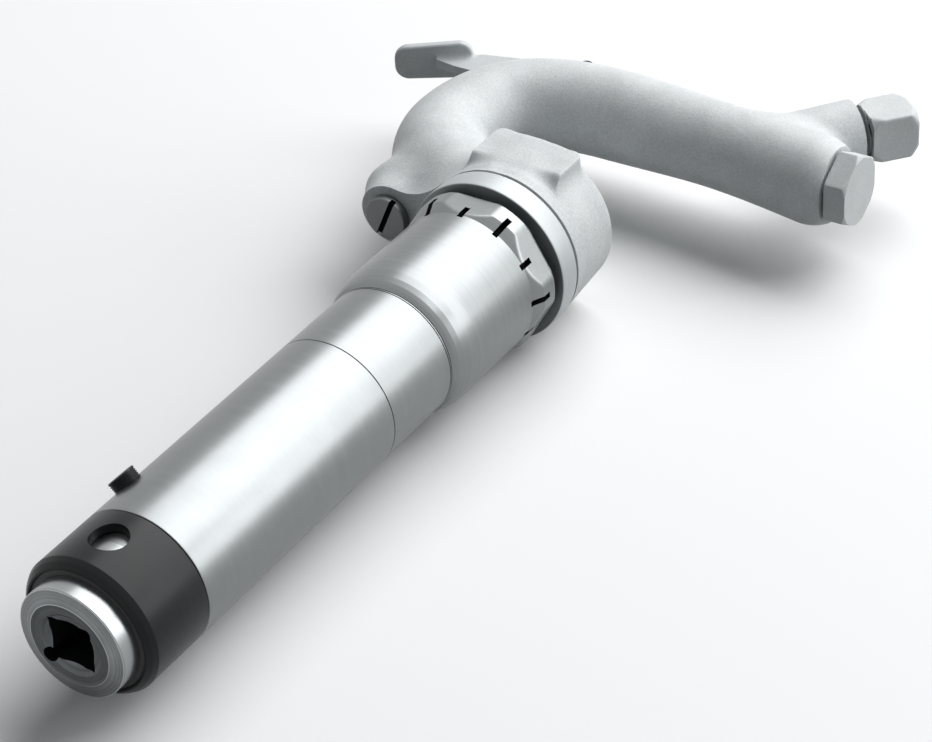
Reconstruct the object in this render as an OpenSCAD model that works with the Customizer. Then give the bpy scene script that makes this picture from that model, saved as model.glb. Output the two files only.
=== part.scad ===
// Pneumatic chisel scaler, gooseneck handle, all sizes in millimetres.
// Y runs along the barrel from the nozzle (y = 0) back to the handle.
// X runs along the grip, Z is square to the plane of the handle.
// The origin is the centre of the chisel socket mouth.

/* [Nozzle bushing] */
// Radius of the turned ridge on the nose
ridge_r = 12.4; // [11.5:0.1:13.5]
// Height of the ridge in front of the nose edge
ridge_h = 1; // [0.4:0.1:1.5]
// Across flats of the square chisel shank
shank_af = 12.7; // [12:0.1:13.2]
// Play between chisel shank and socket, per side
shank_play = 0.1; // [0.05:0.01:0.2]
// Radius of the conical lead-in at the socket mouth
lead_r = 8.3; // [7.6:0.1:8.8]
// Depth of the conical lead-in
lead_depth = 1.6; // [1:0.1:2.5]
// Radius of the round relief in one socket corner
relief_r = 2.1; // [1.6:0.1:2.3]
// Distance of the relief's centre outside the side wall of the socket
relief_out = 0.75; // [0.4:0.05:1.1]
// Distance of the relief's centre inside the lower wall of the socket
relief_in = 0.55; // [0.2:0.05:0.9]
// Step from the nose to the flange behind it
nose_step = 1.45; // [1.2:0.05:1.8]
// Wall of the barrel spigot round the shank of the bushing
spigot_wall = 2.8; // [2.4:0.1:3.2]
// Overall length of the bushing behind the origin
bushing_len = 50; // [48:1:52]

/* [Retainer sleeve] */
// Outside radius of sleeve and front barrel
barrel_r = 20.5; // [20:0.1:21]
// Front face of the sleeve
sleeve_front = 5.5; // [5:0.1:6]
// Rear edge of the sleeve
sleeve_rear = 29; // [28:0.5:30]
// Wall of the sleeve over the barrel spigot
sleeve_wall = 2.6; // [2.2:0.1:3]
// Width of the lip round the wiper ring
sleeve_lip = 0.6; // [0.5:0.05:0.9]
// Length of the sleeve shoulder
shoulder_len = 2.7; // [2:0.1:3]
// Front of the flange pocket in the sleeve
pocket_front = 12; // [11:0.1:13]
// Length of the flange pocket in the sleeve
pocket_len = 8.2; // [7.8:0.1:9]
// Radius of the spanner holes
spanner_r = 5; // [4:0.1:5.5]
// Place of the spanner holes along the barrel
spanner_y = 18.5; // [17.5:0.1:19.5]
// Width of the wiper ring
wiper_w = 1.45; // [1.2:0.05:1.8]
// Depth of the seat for the wiper ring
wiper_depth = 2.6; // [2:0.1:3]

/* [Lock plug] */
// Radius of the lock plug
plug_r = 4.05; // [3.5:0.05:4.5]
// Distance of the lock plug from the rear end of the bushing
plug_back = 6; // [5:0.5:8]
// Height of the lock plug above the barrel
plug_up = 3; // [2:0.1:3.5]
// Angle of the lock plug round the barrel
plug_angle = 135; // [125:5:145]
// Depth to which the plug reaches into the shank of the bushing
plug_in = 1.4; // [1:0.1:1.6]

/* [Barrel] */
// Step from the front to the rear part of the barrel
flare_up = 2.44; // [2:0.02:2.6]
// Start of the flare to the rear part
flare_y = 142.3; // [138:0.1:144]
// Length of the flare
flare_len = 11; // [9:0.1:13]
// Place of the scribed line round the barrel
scribe_y = 113.5; // [100:0.5:125]
// Gap between the faceted collar and the handle
collar_gap = 2.5; // [1.5:0.1:3]
// Length of the faceted collar
collar_len = 9.5; // [9:0.1:10]
// Height of the collar's flats over the barrel
collar_flat_up = 0.26; // [0.1:0.02:0.5]
// Height of the collar's turned corners over the barrel
collar_corner_up = 1.76; // [1.4:0.02:2]
// Length of the slots at the corners
slot_long = 7.3; // [6:0.1:8]
// Length of the slots on the flats
slot_short = 4.9; // [4:0.1:6]
// Width of the slots
slot_w = 1.8; // [1.4:0.1:2.2]
// Depth of the slots
slot_deep = 2.04; // [1.6:0.02:2.4]
// Wall between the piston bore and the outside of the front barrel
barrel_wall = 6.15; // [6:0.05:6.4]
// Step from the piston bore to the valve chamber
chest_step = 2.85; // [2.6:0.05:3.2]
// Wall of the screwed end round the valve chamber
screw_wall = 2.2; // [2:0.1:2.6]
// Length of the screwed end inside the handle
screw_len = 18.2; // [17:0.1:19]
// Radius of the air passages in the barrel wall
port_r = 1.4; // [1:0.1:1.6]

/* [Bumper and piston] */
// Length of the seat of the bumper ring
bumper_len = 4.8; // [4:0.1:6]
// Running play of the piston, radial
piston_play = 0.05; // [0.03:0.01:0.08]
// Gap between bumper ring and piston at rest
piston_gap = 3.2; // [2:0.1:6]
// Length of the piston nose
piston_nose = 13; // [12:0.5:14]
// Length of the piston body
piston_len = 46; // [40:1:48]
// Radius of the piston nose
nose_piston_r = 7.5; // [6.5:0.1:7.8]

/* [Valve chest] */
// Length of the valve box
box_len = 32; // [30:0.5:32]
// Thickness of the front wall of the valve box
box_floor = 5; // [4:0.5:6]
// Radius of the hole in the front wall of the valve box
box_hole_r = 4; // [3:0.1:4.6]
// Radius of the side ports of the valve box
side_port_r = 2.2; // [1.6:0.1:2.4]
// Radius of the bore for the valve
valve_bore_r = 10; // [9:0.1:11]
// Length of the spool valve
spool_len = 17; // [15:0.5:18]
// Room for the travel of the spool valve
spool_travel = 3.5; // [3:0.5:4]
// Length of the valve cap
cap_len = 7.4; // [7:0.1:7.6]
// Radius of the dowel pin
dowel_r = 1.2; // [1:0.1:1.25]

/* [Handle head] */
// Front face of the handle
head_front = 193.8; // [193.6:0.1:194.2]
// Wall of the head round the thread of the barrel
head_wall = 6.4; // [6:0.1:7]
// Length of the turned register
register_len = 7.7; // [7:0.1:8.2]
// Step from the turned register down to the cast head
register_step = 0.1; // [0:0.05:0.4]
// Taper of the cast head from front to rear, radial
head_taper = 1.5; // [1:0.1:2]
// Length of the head
head_len = 31.2; // [30:0.1:33]
// Height of the flat pad on the head above the axis
flat_h = 24.6; // [24:0.1:25.2]
// Half width of the flat pad on the head
flat_half = 14.2; // [13:0.1:15]
// Length of the flat pad
flat_len = 16; // [14:0.5:18]
// Thickness of the gasket behind the barrel
gasket_t = 2.3; // [1.5:0.1:2.6]
// Radius of the air chamber behind the valve
chamber_r = 12; // [10:0.5:13]
// Length of the air chamber
chamber_len = 5; // [4:0.1:5.5]

/* [Gooseneck and grip] */
// Sideways place of the bend
bend_x = -48.3; // [-50:0.1:-47]
// Distance of the bend behind the front of the handle
bend_back = 57.2; // [55:0.5:59]
// Distance of the grip behind the front of the handle
grip_back = 90.8; // [89:0.2:92]
// Drop of the throttle bore below the grip's highest stretch
bore_drop = 6.2; // [5.6:0.1:6.8]
// Radius of the gooseneck at the head
neck_r = 16.8; // [16:0.1:17.5]
// Radius of the gooseneck in the bend
bend_r = 14.7; // [14.4:0.1:15.2]
// Radius of the grip at the lever
grip_r = 14.3; // [14.1:0.1:14.8]
// Radius of the grip in the middle
grip_mid_r = 13.3; // [13.1:0.1:14]
// Radius of the grip at the throttle end
grip_end_r = 13.8; // [13.4:0.1:14.2]
// End face of the grip
grip_end_x = 69.4; // [68.8:0.1:69.8]
// Sideways place of the ear with the passage plug
ear_x = -39.5; // [-40:0.1:-39]
// Radius of the ear
ear_r = 8.9; // [8.6:0.1:9.4]
// Distance of the ear behind the front of the handle
ear_back = 8.7; // [8.2:0.1:9.6]
// Radius of the swelling between ear and gooseneck
swell_r = 9.6; // [9:0.1:10.4]
// Length over which the ear grows to the swelling
swell_len = 11.5; // [9:0.5:13]
// Sideways step from the ear to the swelling
swell_step = 5.2; // [4.6:0.1:5.8]
// Radius of the head of the passage plug
screw_head_r = 7; // [6.6:0.1:7.4]
// Thickness of the head of the passage plug
screw_head_t = 2.4; // [2:0.1:2.8]
// Radius of the shank of the passage plug
screw_shank_r = 5; // [4.6:0.1:5.4]
// Thickness of the gasket under the passage plug, with its play
gasket_ring_t = 0.6; // [0.5:0.05:0.9]
// Radius of the drilled passage in the gooseneck
passage_r = 3.6; // [3:0.1:3.8]
// Radius of the cross passages at its ends
cross_r = 3; // [2.6:0.1:3.1]

/* [Hose inlet] */
// Angle between grip and hose inlet, degrees
inlet_angle = 48.5; // [47:0.5:50]
// Sideways place of the inlet square
inlet_x = 66.6; // [66:0.1:67]
// Distance of the inlet square behind the throttle bore
inlet_back = 34.1; // [33.6:0.1:34.6]
// Radius of the inlet branch at its end
branch_r = 11.5; // [11:0.1:12]
// Length of the branch bevel at its end
branch_bevel = 1; // [0.6:0.1:1.4]
// Place of the branch end, before the square
neck_len = 6.3; // [6:0.1:6.8]
// Across flats of the square on the inlet bushing
square_af = 15.1; // [14.6:0.1:15.6]
// Length of the full square
square_len = 9.4; // [9:0.1:10.5]
// Length of the bevels on the corners of the square
square_bevel = 4; // [3:0.1:4.5]
// Radius of the hose thread (a quarter of an inch pipe)
hose_r = 5.7; // [5.4:0.05:5.9]
// Depth of the hose thread
hose_depth = 14; // [12:0.5:15]
// Radius of the thread that holds the inlet bushing
inlet_thread_r = 8.2; // [8:0.1:8.4]
// Depth of the thread that holds the inlet bushing
inlet_thread_len = 14; // [12:0.5:16]
// Radius of the air way behind the inlet bushing
airway_r = 6; // [5:0.1:6.4]

/* [Throttle] */
// Across flats of the throttle cap
cap_af = 21; // [20.4:0.1:21.6]
// Length of the hexagon of the throttle cap
cap_hex_len = 8; // [7.4:0.1:8.6]
// Length of the throttle cap inside the grip
cap_in = 12.8; // [12:0.2:13.6]
// Radius of the throttle bore on the cap side
throttle_r = 8; // [7.8:0.1:8.2]
// Start of that wide bore along the grip
wide_x = 41; // [39:0.5:43]
// Radius of the bore for seat and valve head
seat_bore_r = 6.4; // [6.2:0.1:6.6]
// Radius of the chamber in front of the seat
front_r = 5.2; // [4.6:0.1:5.6]
// Start of the seat along the grip
seat_x = 20; // [19:0.5:21]
// Length of the seat
seat_len = 5; // [4.5:0.1:5.4]
// Radius of the hole in the seat
seat_hole_r = 4; // [3.6:0.1:4.2]
// Radius of the valve stem
stem_valve_r = 2; // [1.8:0.1:2.2]
// Air gap round the valve head
valve_gap = 1.2; // [1:0.1:1.4]
// Running clearance of small sliding fits, radial
slide_play = 0.06; // [0.04:0.01:0.1]
// Mean radius of the throttle spring
spring_r = 4.7; // [4.5:0.1:4.9]
// Wire radius of the throttle spring
wire_r = 0.5; // [0.4:0.05:0.6]
// Number of spring curls
curls = 9; // [8:1:10]

/* [Throttle lever] */
// Sideways place of the lever pivot
pivot_x = -24.4; // [-25:0.1:-24]
// Height of the lever pivot over the throttle bore
pivot_up = 15.1; // [14.6:0.1:15.6]
// Length of the lever from the pivot to the tip of its thumb plate
lever_len = 65; // [62:0.5:67]
// Radius of the rounded nose that pushes the valve
nose_tip_r = 1.6; // [1.4:0.1:1.8]
// Radius of the lever pin
pin_r = 2; // [1.8:0.1:2.2]
// Thickness of the lever arm
arm_t = 3; // [2.6:0.1:3.4]
// Play of the lever arm in its slot, per side
arm_play = 0.4; // [0.3:0.05:0.6]
// Width of the thumb plate at its tip
plate_w = 11.6; // [10:0.2:14]
// Width of the thumb plate at the arm
plate_base_w = 13; // [12:0.2:14]
// Thickness of the thumb plate
plate_t = 3; // [2.4:0.1:3.4]
// Length of the thumb plate
plate_len = 25.5; // [24:0.5:28]
// Radius of the corners of the thumb plate
plate_round = 4.6; // [3:0.1:5]
// Length of the lever pin
pin_len = 20; // [18:0.5:21]

/* [Hidden] */
$fn = 72;
fit = 0.1;
eps = 0.01;

// Unit vector and frame of the hose inlet.
inlet_dir = [cos(inlet_angle), sin(inlet_angle), 0];
stack_gap = 0.2;

// Front end: radii inwards from the barrel, places back from the nozzle.
socket_half = shank_af / 2 + shank_play;
relief_x = -(socket_half + relief_out);
relief_z = -(socket_half - relief_in);
spigot_r = barrel_r - sleeve_wall;
flange_r = spigot_r - 0.3;
nose_r = flange_r - nose_step;
sleeve_bore_r = nose_r + 0.15;
wiper_seat_r = nose_r + wiper_w + fit;
shoulder_r = wiper_seat_r + sleeve_lip;
stem_r = spigot_r - spigot_wall - fit;
pocket_end = pocket_front + pocket_len;
barrel_front = pocket_end + fit;
plug_y = bushing_len - plug_back;
plug_tip = stem_r - plug_in;
counter_end = bushing_len + bumper_len;
piston_front = counter_end + piston_gap;

// Barrel: radii from the outside inwards, places forwards from the handle.
bore_r = barrel_r - barrel_wall;
chest_r = bore_r + chest_step;
screw_r = chest_r + screw_wall;
rear_r = barrel_r + flare_up;
collar_af = 2 * (rear_r + collar_flat_up);
collar_r = rear_r + collar_corner_up;
slot_floor = rear_r - slot_deep;
collar_y = head_front - collar_gap - collar_len;
barrel_end = head_front + screw_len;
bore_end = barrel_end - cap_len - box_len - 4 * stack_gap;
box_front = bore_end + stack_gap;
box_rear = box_front + box_len;
cap_front = box_rear + stack_gap;
cap_step = 1.5;
spool_front = cap_front - cap_step - spool_travel - spool_len;
dowel_ring = (bore_r + chest_r) / 2;
port_front = counter_end + 9.2;

// Handle: places back from its front face.
register_r = screw_r + head_wall;
register_end = head_front + register_len;
head_r = register_r - register_step;
head_rear_r = head_r - head_taper;
head_rear = head_front + head_len;
flat_front = head_rear - flat_len;
thread_end = barrel_end + gasket_t + 2 * fit;
chamber_end = thread_end + chamber_len;
ear_front = head_front + ear_back;
bend_y = head_front + bend_back;
grip_y = head_front + grip_back;
bore_y = grip_y - bore_drop;
inlet_y = bore_y + inlet_back;
pivot_y = bore_y + pivot_up;
valve_head_r = seat_bore_r - valve_gap;
valve_x0 = pivot_x + 2 * nose_tip_r + 0.1;

// Centre line of gooseneck and grip: three cubic curves in the handle plane.
function bez(a, b, c, d, t) =
    pow(1 - t, 3) * a + 3 * t * pow(1 - t, 2) * b
    + 3 * t * t * (1 - t) * c + pow(t, 3) * d;
function smooth(t) = t * t * (3 - 2 * t);
// Length and depth of the round end of the grip.
dome = 7;
end_round = 4.4;
neck_a = [-14, head_front + 18.2];
neck_b = [-33, head_front + 30.2];
neck_c = [bend_x, head_front + 43.2];
bend_p = [bend_x, bend_y];
bend_b = [bend_x, bend_y + 21];
bend_c = [-37, grip_y + 0.2];
grip_a = [-10, grip_y];
grip_b = [20, grip_y];
grip_c = [45, bore_y + 3.4];
grip_d = [grip_end_x - dome, bore_y];
steps = 9;
path_n = [for (i = [0:steps - 1]) let (t = i / steps)
    [bez(neck_a, neck_b, neck_c, bend_p, t), neck_r + (bend_r - neck_r) * smooth(t)]];
path_b = [for (i = [0:steps - 1]) let (t = i / steps)
    [bez(bend_p, bend_b, bend_c, grip_a, t), bend_r + (grip_r - bend_r) * smooth(t)]];
path_g = [for (i = [0:steps]) let (t = i / steps)
    [bez(grip_a, grip_b, grip_c, grip_d, t),
     t < 0.5 ? grip_r + (grip_mid_r - grip_r) * smooth(2 * t)
     : grip_mid_r + (grip_end_r - grip_mid_r) * smooth(2 * t - 1)]];
path_e = [for (a = [22, 44, 62, 78]) [[grip_end_x - dome + dome * sin(a), bore_y],
    grip_end_r - end_round * (1 - cos(a))]];
path_z = [[[grip_end_x, bore_y], grip_end_r - end_round]];
path = concat(path_n, path_b, path_g, path_e, path_z);
sides = 28;
function heading(i) = let (
    a = path[max(i - 1, 0)][0], b = path[min(i + 1, len(path) - 1)][0],
    last = i > len(path) - 6, d = last ? [1, 0] : b - a) d / norm(d);

// Helpers

// Body turned about the barrel axis from a list of radius and place pairs.
module turned(points) {
    rotate([-90, 0, 0]) rotate_extrude() polygon(points);
}

// Round bar along the barrel from a to b.
module bar_y(a, b, r, r2 = 0) {
    translate([0, a, 0]) rotate([-90, 0, 0])
        cylinder(h = b - a, r1 = r, r2 = r2 > 0 ? r2 : r);
}

// Round bar along the throttle bore from a to b.
module bar_x(a, b, r, r2 = 0) {
    translate([a, bore_y, 0]) rotate([0, 90, 0])
        cylinder(h = b - a, r1 = r, r2 = r2 > 0 ? r2 : r);
}

// Places children on the hose inlet axis, their Z along the inlet.
module at_inlet(s = 0) {
    translate([inlet_x, inlet_y, 0] + s * inlet_dir)
        rotate([0, 90, inlet_angle]) children();
}

// Tube of round rings swept along the path list.
module swept() {
    n = len(path);
    pts = [for (i = [0:n - 1]) let (h = heading(i), c = path[i][0], r = path[i][1])
        for (k = [0:sides - 1]) let (a = 360 * k / sides)
            [c[0] - h[1] * r * cos(a), c[1] + h[0] * r * cos(a), r * sin(a)]];
    wall = [for (i = [0:n - 2]) for (k = [0:sides - 1]) let (
        a = i * sides + k, b = i * sides + (k + 1) % sides)
        for (f = [[a, b + sides, b], [a, a + sides, b + sides]]) f];
    first = [for (k = [0:sides - 1]) k];
    last = [for (k = [sides - 1:-1:0]) (n - 1) * sides + k];
    polyhedron(pts, concat([first], wall, [last]), convexity = 6);
}

// Front end

module nozzle_bushing() {
    af = 2 * socket_half;
    color([0.72, 0.73, 0.74]) difference() {
        turned([[0, 0], [lead_r, 0], [ridge_r, -ridge_h], [nose_r, 0],
            [nose_r, pocket_front + 0.2], [flange_r, pocket_front + 0.2],
            [flange_r, pocket_end - 0.1], [stem_r, pocket_end - 0.1],
            [stem_r, bushing_len], [0, bushing_len]]);
        translate([-af / 2, -ridge_h - 1, -af / 2])
            cube([af, bushing_len + ridge_h + 2, af]);
        bar_y(-eps, lead_depth, lead_r, shank_af / 2);
        translate([relief_x, 0, relief_z]) bar_y(-ridge_h - 1, 9, relief_r);
        rotate([0, -plug_angle, 0]) translate([plug_tip - 0.4, plug_y, 0])
            rotate([0, 90, 0]) cylinder(h = 6, r = plug_r + fit);
    }
}

module wiper_ring() {
    color([0.08, 0.08, 0.08])
        turned([[nose_r + 0.05, sleeve_front + 0.5],
            [wiper_seat_r - 0.05, sleeve_front + 0.5],
            [wiper_seat_r - 0.05, sleeve_front + wiper_depth - 0.05],
            [nose_r + 0.05, sleeve_front + wiper_depth - 0.05]]);
}

module retainer_sleeve() {
    color([0.13, 0.14, 0.15]) difference() {
        turned([[wiper_seat_r, sleeve_front], [shoulder_r, sleeve_front],
            [barrel_r - 0.9, sleeve_front + 0.55 * shoulder_len],
            [barrel_r, sleeve_front + shoulder_len], [barrel_r, sleeve_rear - 0.35],
            [barrel_r - 0.3, sleeve_rear], [spigot_r + 0.02, sleeve_rear],
            [spigot_r + 0.02, pocket_end], [flange_r + 0.1, pocket_end],
            [flange_r + 0.1, pocket_front], [sleeve_bore_r, pocket_front],
            [sleeve_bore_r, sleeve_front + wiper_depth],
            [wiper_seat_r, sleeve_front + wiper_depth]]);
        for (a = [0, 180]) rotate([0, a, 0])
            translate([0, spanner_y, spigot_r - 3]) cylinder(h = 8, r = spanner_r);
    }
}

module lock_plug() {
    top = barrel_r + plug_up;
    color([0.1, 0.1, 0.1]) rotate([0, -plug_angle, 0]) translate([0, plug_y, 0])
        rotate([0, 90, 0]) difference() {
            union() {
                translate([0, 0, plug_tip]) cylinder(h = top - plug_tip - 0.5, r = plug_r);
                translate([0, 0, top - 0.5]) cylinder(h = 0.5, r1 = plug_r, r2 = plug_r - 0.5);
            }
            translate([0, 0, top - 1.2]) cylinder(h = 2, r = 1.7, $fn = 6);
        }
}

// Barrel and hammer

module barrel() {
    ring_y = collar_y + collar_len;
    neck = rear_r - 1.64;
    fy = flare_y;
    fl = flare_len;
    dr = flare_up;
    color([0.74, 0.75, 0.76]) difference() {
        union() {
            turned([[stem_r + fit, barrel_front],
                [spigot_r, barrel_front], [spigot_r, sleeve_rear + 0.2],
                [barrel_r - 0.25, sleeve_rear + 0.2], [barrel_r, sleeve_rear + 0.45],
                [barrel_r, scribe_y - 0.2], [barrel_r - 0.2, scribe_y],
                [barrel_r, scribe_y + 0.2], [barrel_r, fy - 0.3],
                [barrel_r - 0.2, fy], [barrel_r + 0.3 * dr, fy + 0.075 * fl],
                [barrel_r + 0.54 * dr, fy + 0.2 * fl],
                [barrel_r + 0.74 * dr, fy + 0.37 * fl],
                [barrel_r + 0.89 * dr, fy + 0.6 * fl],
                [barrel_r + 0.96 * dr, fy + 0.8 * fl], [rear_r, fy + fl],
                [rear_r, collar_y + 1], [neck, collar_y + 1],
                [neck, head_front - 0.2], [screw_r, head_front - 0.2],
                [screw_r, barrel_end], [chest_r, barrel_end], [chest_r, bore_end],
                [bore_r, bore_end], [bore_r, counter_end],
                [stem_r + fit, counter_end]]);
            intersection() {
                translate([0, collar_y, 0]) rotate([-90, 0, 0])
                    cylinder(h = collar_len, r = collar_af / sqrt(3), $fn = 6);
                turned([[neck - 1.3, collar_y - 1], [rear_r + 0.02, collar_y - 1],
                    [rear_r + 0.02, collar_y], [collar_r, collar_y + 3.2],
                    [collar_r, ring_y - 0.6], [collar_r - 0.5, ring_y + 1],
                    [neck - 1.3, ring_y + 1]]);
            }
        }
        for (i = [0:11]) rotate([0, -30 * i, 0])
            translate([slot_floor, collar_y - 1.2, -slot_w / 2])
                cube([6, i % 2 == 0 ? slot_long : slot_short, slot_w]);
        rotate([0, -plug_angle, 0]) translate([stem_r - 1, plug_y, 0])
            rotate([0, 90, 0]) cylinder(h = 9, r = plug_r + 0.02);
        for (a = [20, 200, 290]) rotate([0, a, 0]) translate([bore_r + 2.4, 0, 0])
            bar_y(port_front, bore_end - 6, port_r);
        for (a = [20, 200, 290]) rotate([0, a, 0])
            translate([bore_r - 1, port_front + 2, 0]) rotate([0, 90, 0])
                cylinder(h = 3.4, r = port_r - 0.1);
        translate([0, 0, -dowel_ring]) bar_y(bore_end - 6, bore_end + 1, dowel_r + 0.02);
    }
}

module bumper_ring() {
    color([0.1, 0.1, 0.1])
        turned([[nose_piston_r + 0.8, bushing_len + 0.3], [stem_r, bushing_len + 0.3],
            [stem_r, counter_end - 0.2], [nose_piston_r + 0.8, counter_end - 0.2]]);
}

module piston() {
    f = piston_front;
    b = f + piston_nose;
    e = b + piston_len;
    r = bore_r - piston_play;
    color([0.66, 0.67, 0.68]) difference() {
        turned([[0, f], [nose_piston_r - 1, f], [nose_piston_r, f + 1],
            [nose_piston_r, b - 1], [r - 1, b], [r, b + 1], [r, b + 10],
            [r - 0.8, b + 10.5], [r - 0.8, b + 13.5], [r, b + 14], [r, e - 1],
            [r - 1, e], [0, e]]);
        bar_y(e - 18, e + 1, 6);
    }
}

module valve_box() {
    r = chest_r - 0.05;
    color([0.62, 0.58, 0.45]) difference() {
        bar_y(box_front, box_rear, r);
        bar_y(box_front + box_floor, box_rear + 1, valve_bore_r);
        bar_y(box_front - 1, box_front + box_floor + 1, box_hole_r);
        for (a = [45, 135, 225, 315]) rotate([0, a, 0])
            translate([valve_bore_r - 1, box_front + box_len / 2, 0]) rotate([0, 90, 0])
                cylinder(h = chest_r - valve_bore_r + 2, r = side_port_r);
        translate([0, 0, -dowel_ring]) bar_y(box_front - 1, box_rear + 1, dowel_r + 0.02);
    }
}

module spool_valve() {
    f = spool_front;
    r = valve_bore_r - slide_play;
    color([0.7, 0.7, 0.72])
        turned([[5, f], [r, f], [r, f + 4.5], [r - 1.6, f + 5.2],
            [r - 1.6, f + spool_len - 5.2], [r, f + spool_len - 4.5],
            [r, f + spool_len], [5, f + spool_len]]);
}

module valve_cap() {
    color([0.66, 0.66, 0.64]) difference() {
        union() {
            bar_y(cap_front, cap_front + cap_len, chest_r - 0.05);
            bar_y(cap_front - cap_step, cap_front + 1, valve_bore_r - 0.1);
        }
        bar_y(cap_front - 2, cap_front + cap_len + 1, box_hole_r + 0.2);
        translate([0, 0, -dowel_ring])
            bar_y(cap_front - 1, cap_front + 4.2, dowel_r + 0.02);
    }
}

module dowel_pin() {
    color([0.55, 0.56, 0.58]) translate([0, 0, -dowel_ring])
        bar_y(bore_end - 5.5, cap_front + 3.8, dowel_r);
}

module head_gasket() {
    color([0.2, 0.19, 0.18])
        turned([[chamber_r + 0.6, barrel_end + 0.1], [screw_r - 0.1, barrel_end + 0.1],
            [screw_r - 0.1, thread_end - 0.1], [chamber_r + 0.6, thread_end - 0.1]]);
}

// Handle

// Point of the lever, in lever lengths from its pivot.
function at_pivot(x, y) = [pivot_x + x * lever_len, pivot_y + y * lever_len];

// Slot in the grip in which the lever arm and its tail swing.
module lever_slot() {
    w = arm_t + 2 * arm_play;
    tail_x = pivot_x - 2.6;
    tail_y = bore_y - 3;
    translate([0, 0, -w / 2]) linear_extrude(height = w)
        polygon([at_pivot(-0.615, -0.277), at_pivot(-0.323, -0.188),
            at_pivot(-0.123, -0.145), [tail_x, pivot_y - 9.4], [tail_x, tail_y],
            [tail_x + 10.6, tail_y], at_pivot(0.123, -0.062), at_pivot(0.169, 0.138),
            at_pivot(-0.615, 0.215)]);
}

module handle() {
    color([0.78, 0.79, 0.8]) difference() {
        union() {
            turned([[0, head_front], [register_r - 0.4, head_front],
                [register_r, head_front + 0.4], [register_r, register_end - 0.4],
                [head_r - 0.3, register_end], [head_r, register_end + 0.5],
                [head_rear_r, head_rear - 0.3], [head_rear_r - 0.3, head_rear],
                [0, head_rear]]);
            translate([-flat_half, flat_front, 0])
                cube([2 * flat_half, head_rear - flat_front, flat_h]);
            translate([ear_x, 0, 0]) bar_y(ear_front, ear_front + swell_len + 8, ear_r);
            translate([ear_x, ear_front + 1, 0])
                rotate([-90, 0, atan(swell_step / swell_len)])
                    cylinder(h = swell_len, r1 = ear_r, r2 = swell_r);
            translate([ear_x - swell_step, 0, 0])
                bar_y(ear_front + swell_len, ear_front + swell_len + 6, swell_r);
            translate([ear_x, ear_front, -ear_r + 0.2])
                cube([-ear_x - 15.5, 16, 2 * ear_r - 0.4]);
            swept();
            at_inlet() rotate_extrude() polygon([[0, -40], [branch_r - 1.6, -40],
                [branch_r, -neck_len - branch_bevel], [branch_r - branch_bevel, -neck_len],
                [0, -neck_len]]);
        }
        translate([-flat_half, flat_front, flat_h])
            cube([2 * flat_half, head_len, head_r]);
        bar_y(head_front - 1, thread_end, screw_r + 0.03);
        bar_y(thread_end - 1, chamber_end, chamber_r);
        translate([ear_x - 1.5, chamber_end - 3.2, 0]) rotate([0, 90, 0])
            cylinder(h = -ear_x - 3.5, r = cross_r);
        translate([ear_x, 0, 0]) bar_y(ear_front - 8, ear_front, ear_r + 4);
        translate([ear_x, 0, 0]) bar_y(ear_front - 1, bore_y + 1.6, passage_r);
        translate([ear_x, 0, 0]) bar_y(ear_front - 1, ear_front + 11, screw_shank_r + 0.05);
        translate([0, 1.1, -6]) bar_x(ear_x - 1, 8, cross_r);
        bar_x(4, seat_x + 1, front_r);
        bar_x(seat_x, wide_x + 1, seat_bore_r);
        bar_x(wide_x, grip_end_x + 1, throttle_r);
        bar_x(pivot_x + 1, 5, stem_valve_r + slide_play);
        at_inlet(-neck_len - inlet_thread_len) cylinder(h = inlet_thread_len + 1,
            r = inlet_thread_r);
        at_inlet(-40) cylinder(h = 30, r = airway_r);
        lever_slot();
        translate([pivot_x, pivot_y, -pin_len]) cylinder(h = 2 * pin_len, r = pin_r + 0.01);
    }
}

module passage_plug() {
    r = screw_head_r;
    y0 = ear_front - gasket_ring_t - screw_head_t;
    color([0.3, 0.31, 0.32]) translate([ear_x, 0, 0]) difference() {
        union() {
            bar_y(y0, y0 + 0.8, r - 0.6, r);
            bar_y(y0 + 0.8, y0 + screw_head_t, r);
            bar_y(y0 + screw_head_t, ear_front + 9, screw_shank_r);
        }
        rotate([0, -24, 0]) translate([-0.85, y0 - 1, -r - 1]) cube([1.7, 2.6, 2 * r + 2]);
    }
}

module plug_gasket() {
    color([0.45, 0.46, 0.47]) translate([ear_x, 0, 0])
        turned([[screw_shank_r + fit, ear_front - gasket_ring_t + 0.05],
            [screw_head_r - 0.2, ear_front - gasket_ring_t + 0.05],
            [screw_head_r - 0.2, ear_front - 0.05], [screw_shank_r + fit, ear_front - 0.05]]);
}

// Throttle

// Outline of the lever arm in the handle plane, with its tail down to the valve.
module arm_shape() {
    polygon([at_pivot(-0.808, -0.098), at_pivot(-0.7, -0.114), at_pivot(-0.554, -0.115),
        at_pivot(-0.308, -0.111), at_pivot(-0.123, -0.092), at_pivot(-0.025, -0.083),
        [pivot_x, bore_y], [pivot_x + 2 * nose_tip_r, bore_y],
        [pivot_x + 2 * nose_tip_r, bore_y + stem_valve_r + 1.6], at_pivot(0.092, -0.077),
        at_pivot(0.083, 0.018), at_pivot(0.023, 0.071), at_pivot(-0.092, 0.083),
        at_pivot(-0.277, 0.105), at_pivot(-0.446, 0.097), at_pivot(-0.631, 0.049),
        at_pivot(-0.677, 0.015)]);
    translate([pivot_x + nose_tip_r, bore_y]) circle(r = nose_tip_r);
}

// Outline of the thumb plate, a little wider at the arm.
module plate_shape() {
    tip = plate_w / 2;
    base = plate_base_w / 2;
    inner = plate_round;
    outer = plate_len - plate_round;
    polygon([[0, inner - tip], [inner, -tip], [outer, -base], [plate_len, inner - base],
        [plate_len, base - inner], [outer, base], [inner, tip], [0, tip - inner]]);
    for (side = [-1, 1]) {
        translate([inner, side * (tip - plate_round)]) circle(r = plate_round);
        translate([outer, side * (base - plate_round)]) circle(r = plate_round);
    }
}

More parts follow.
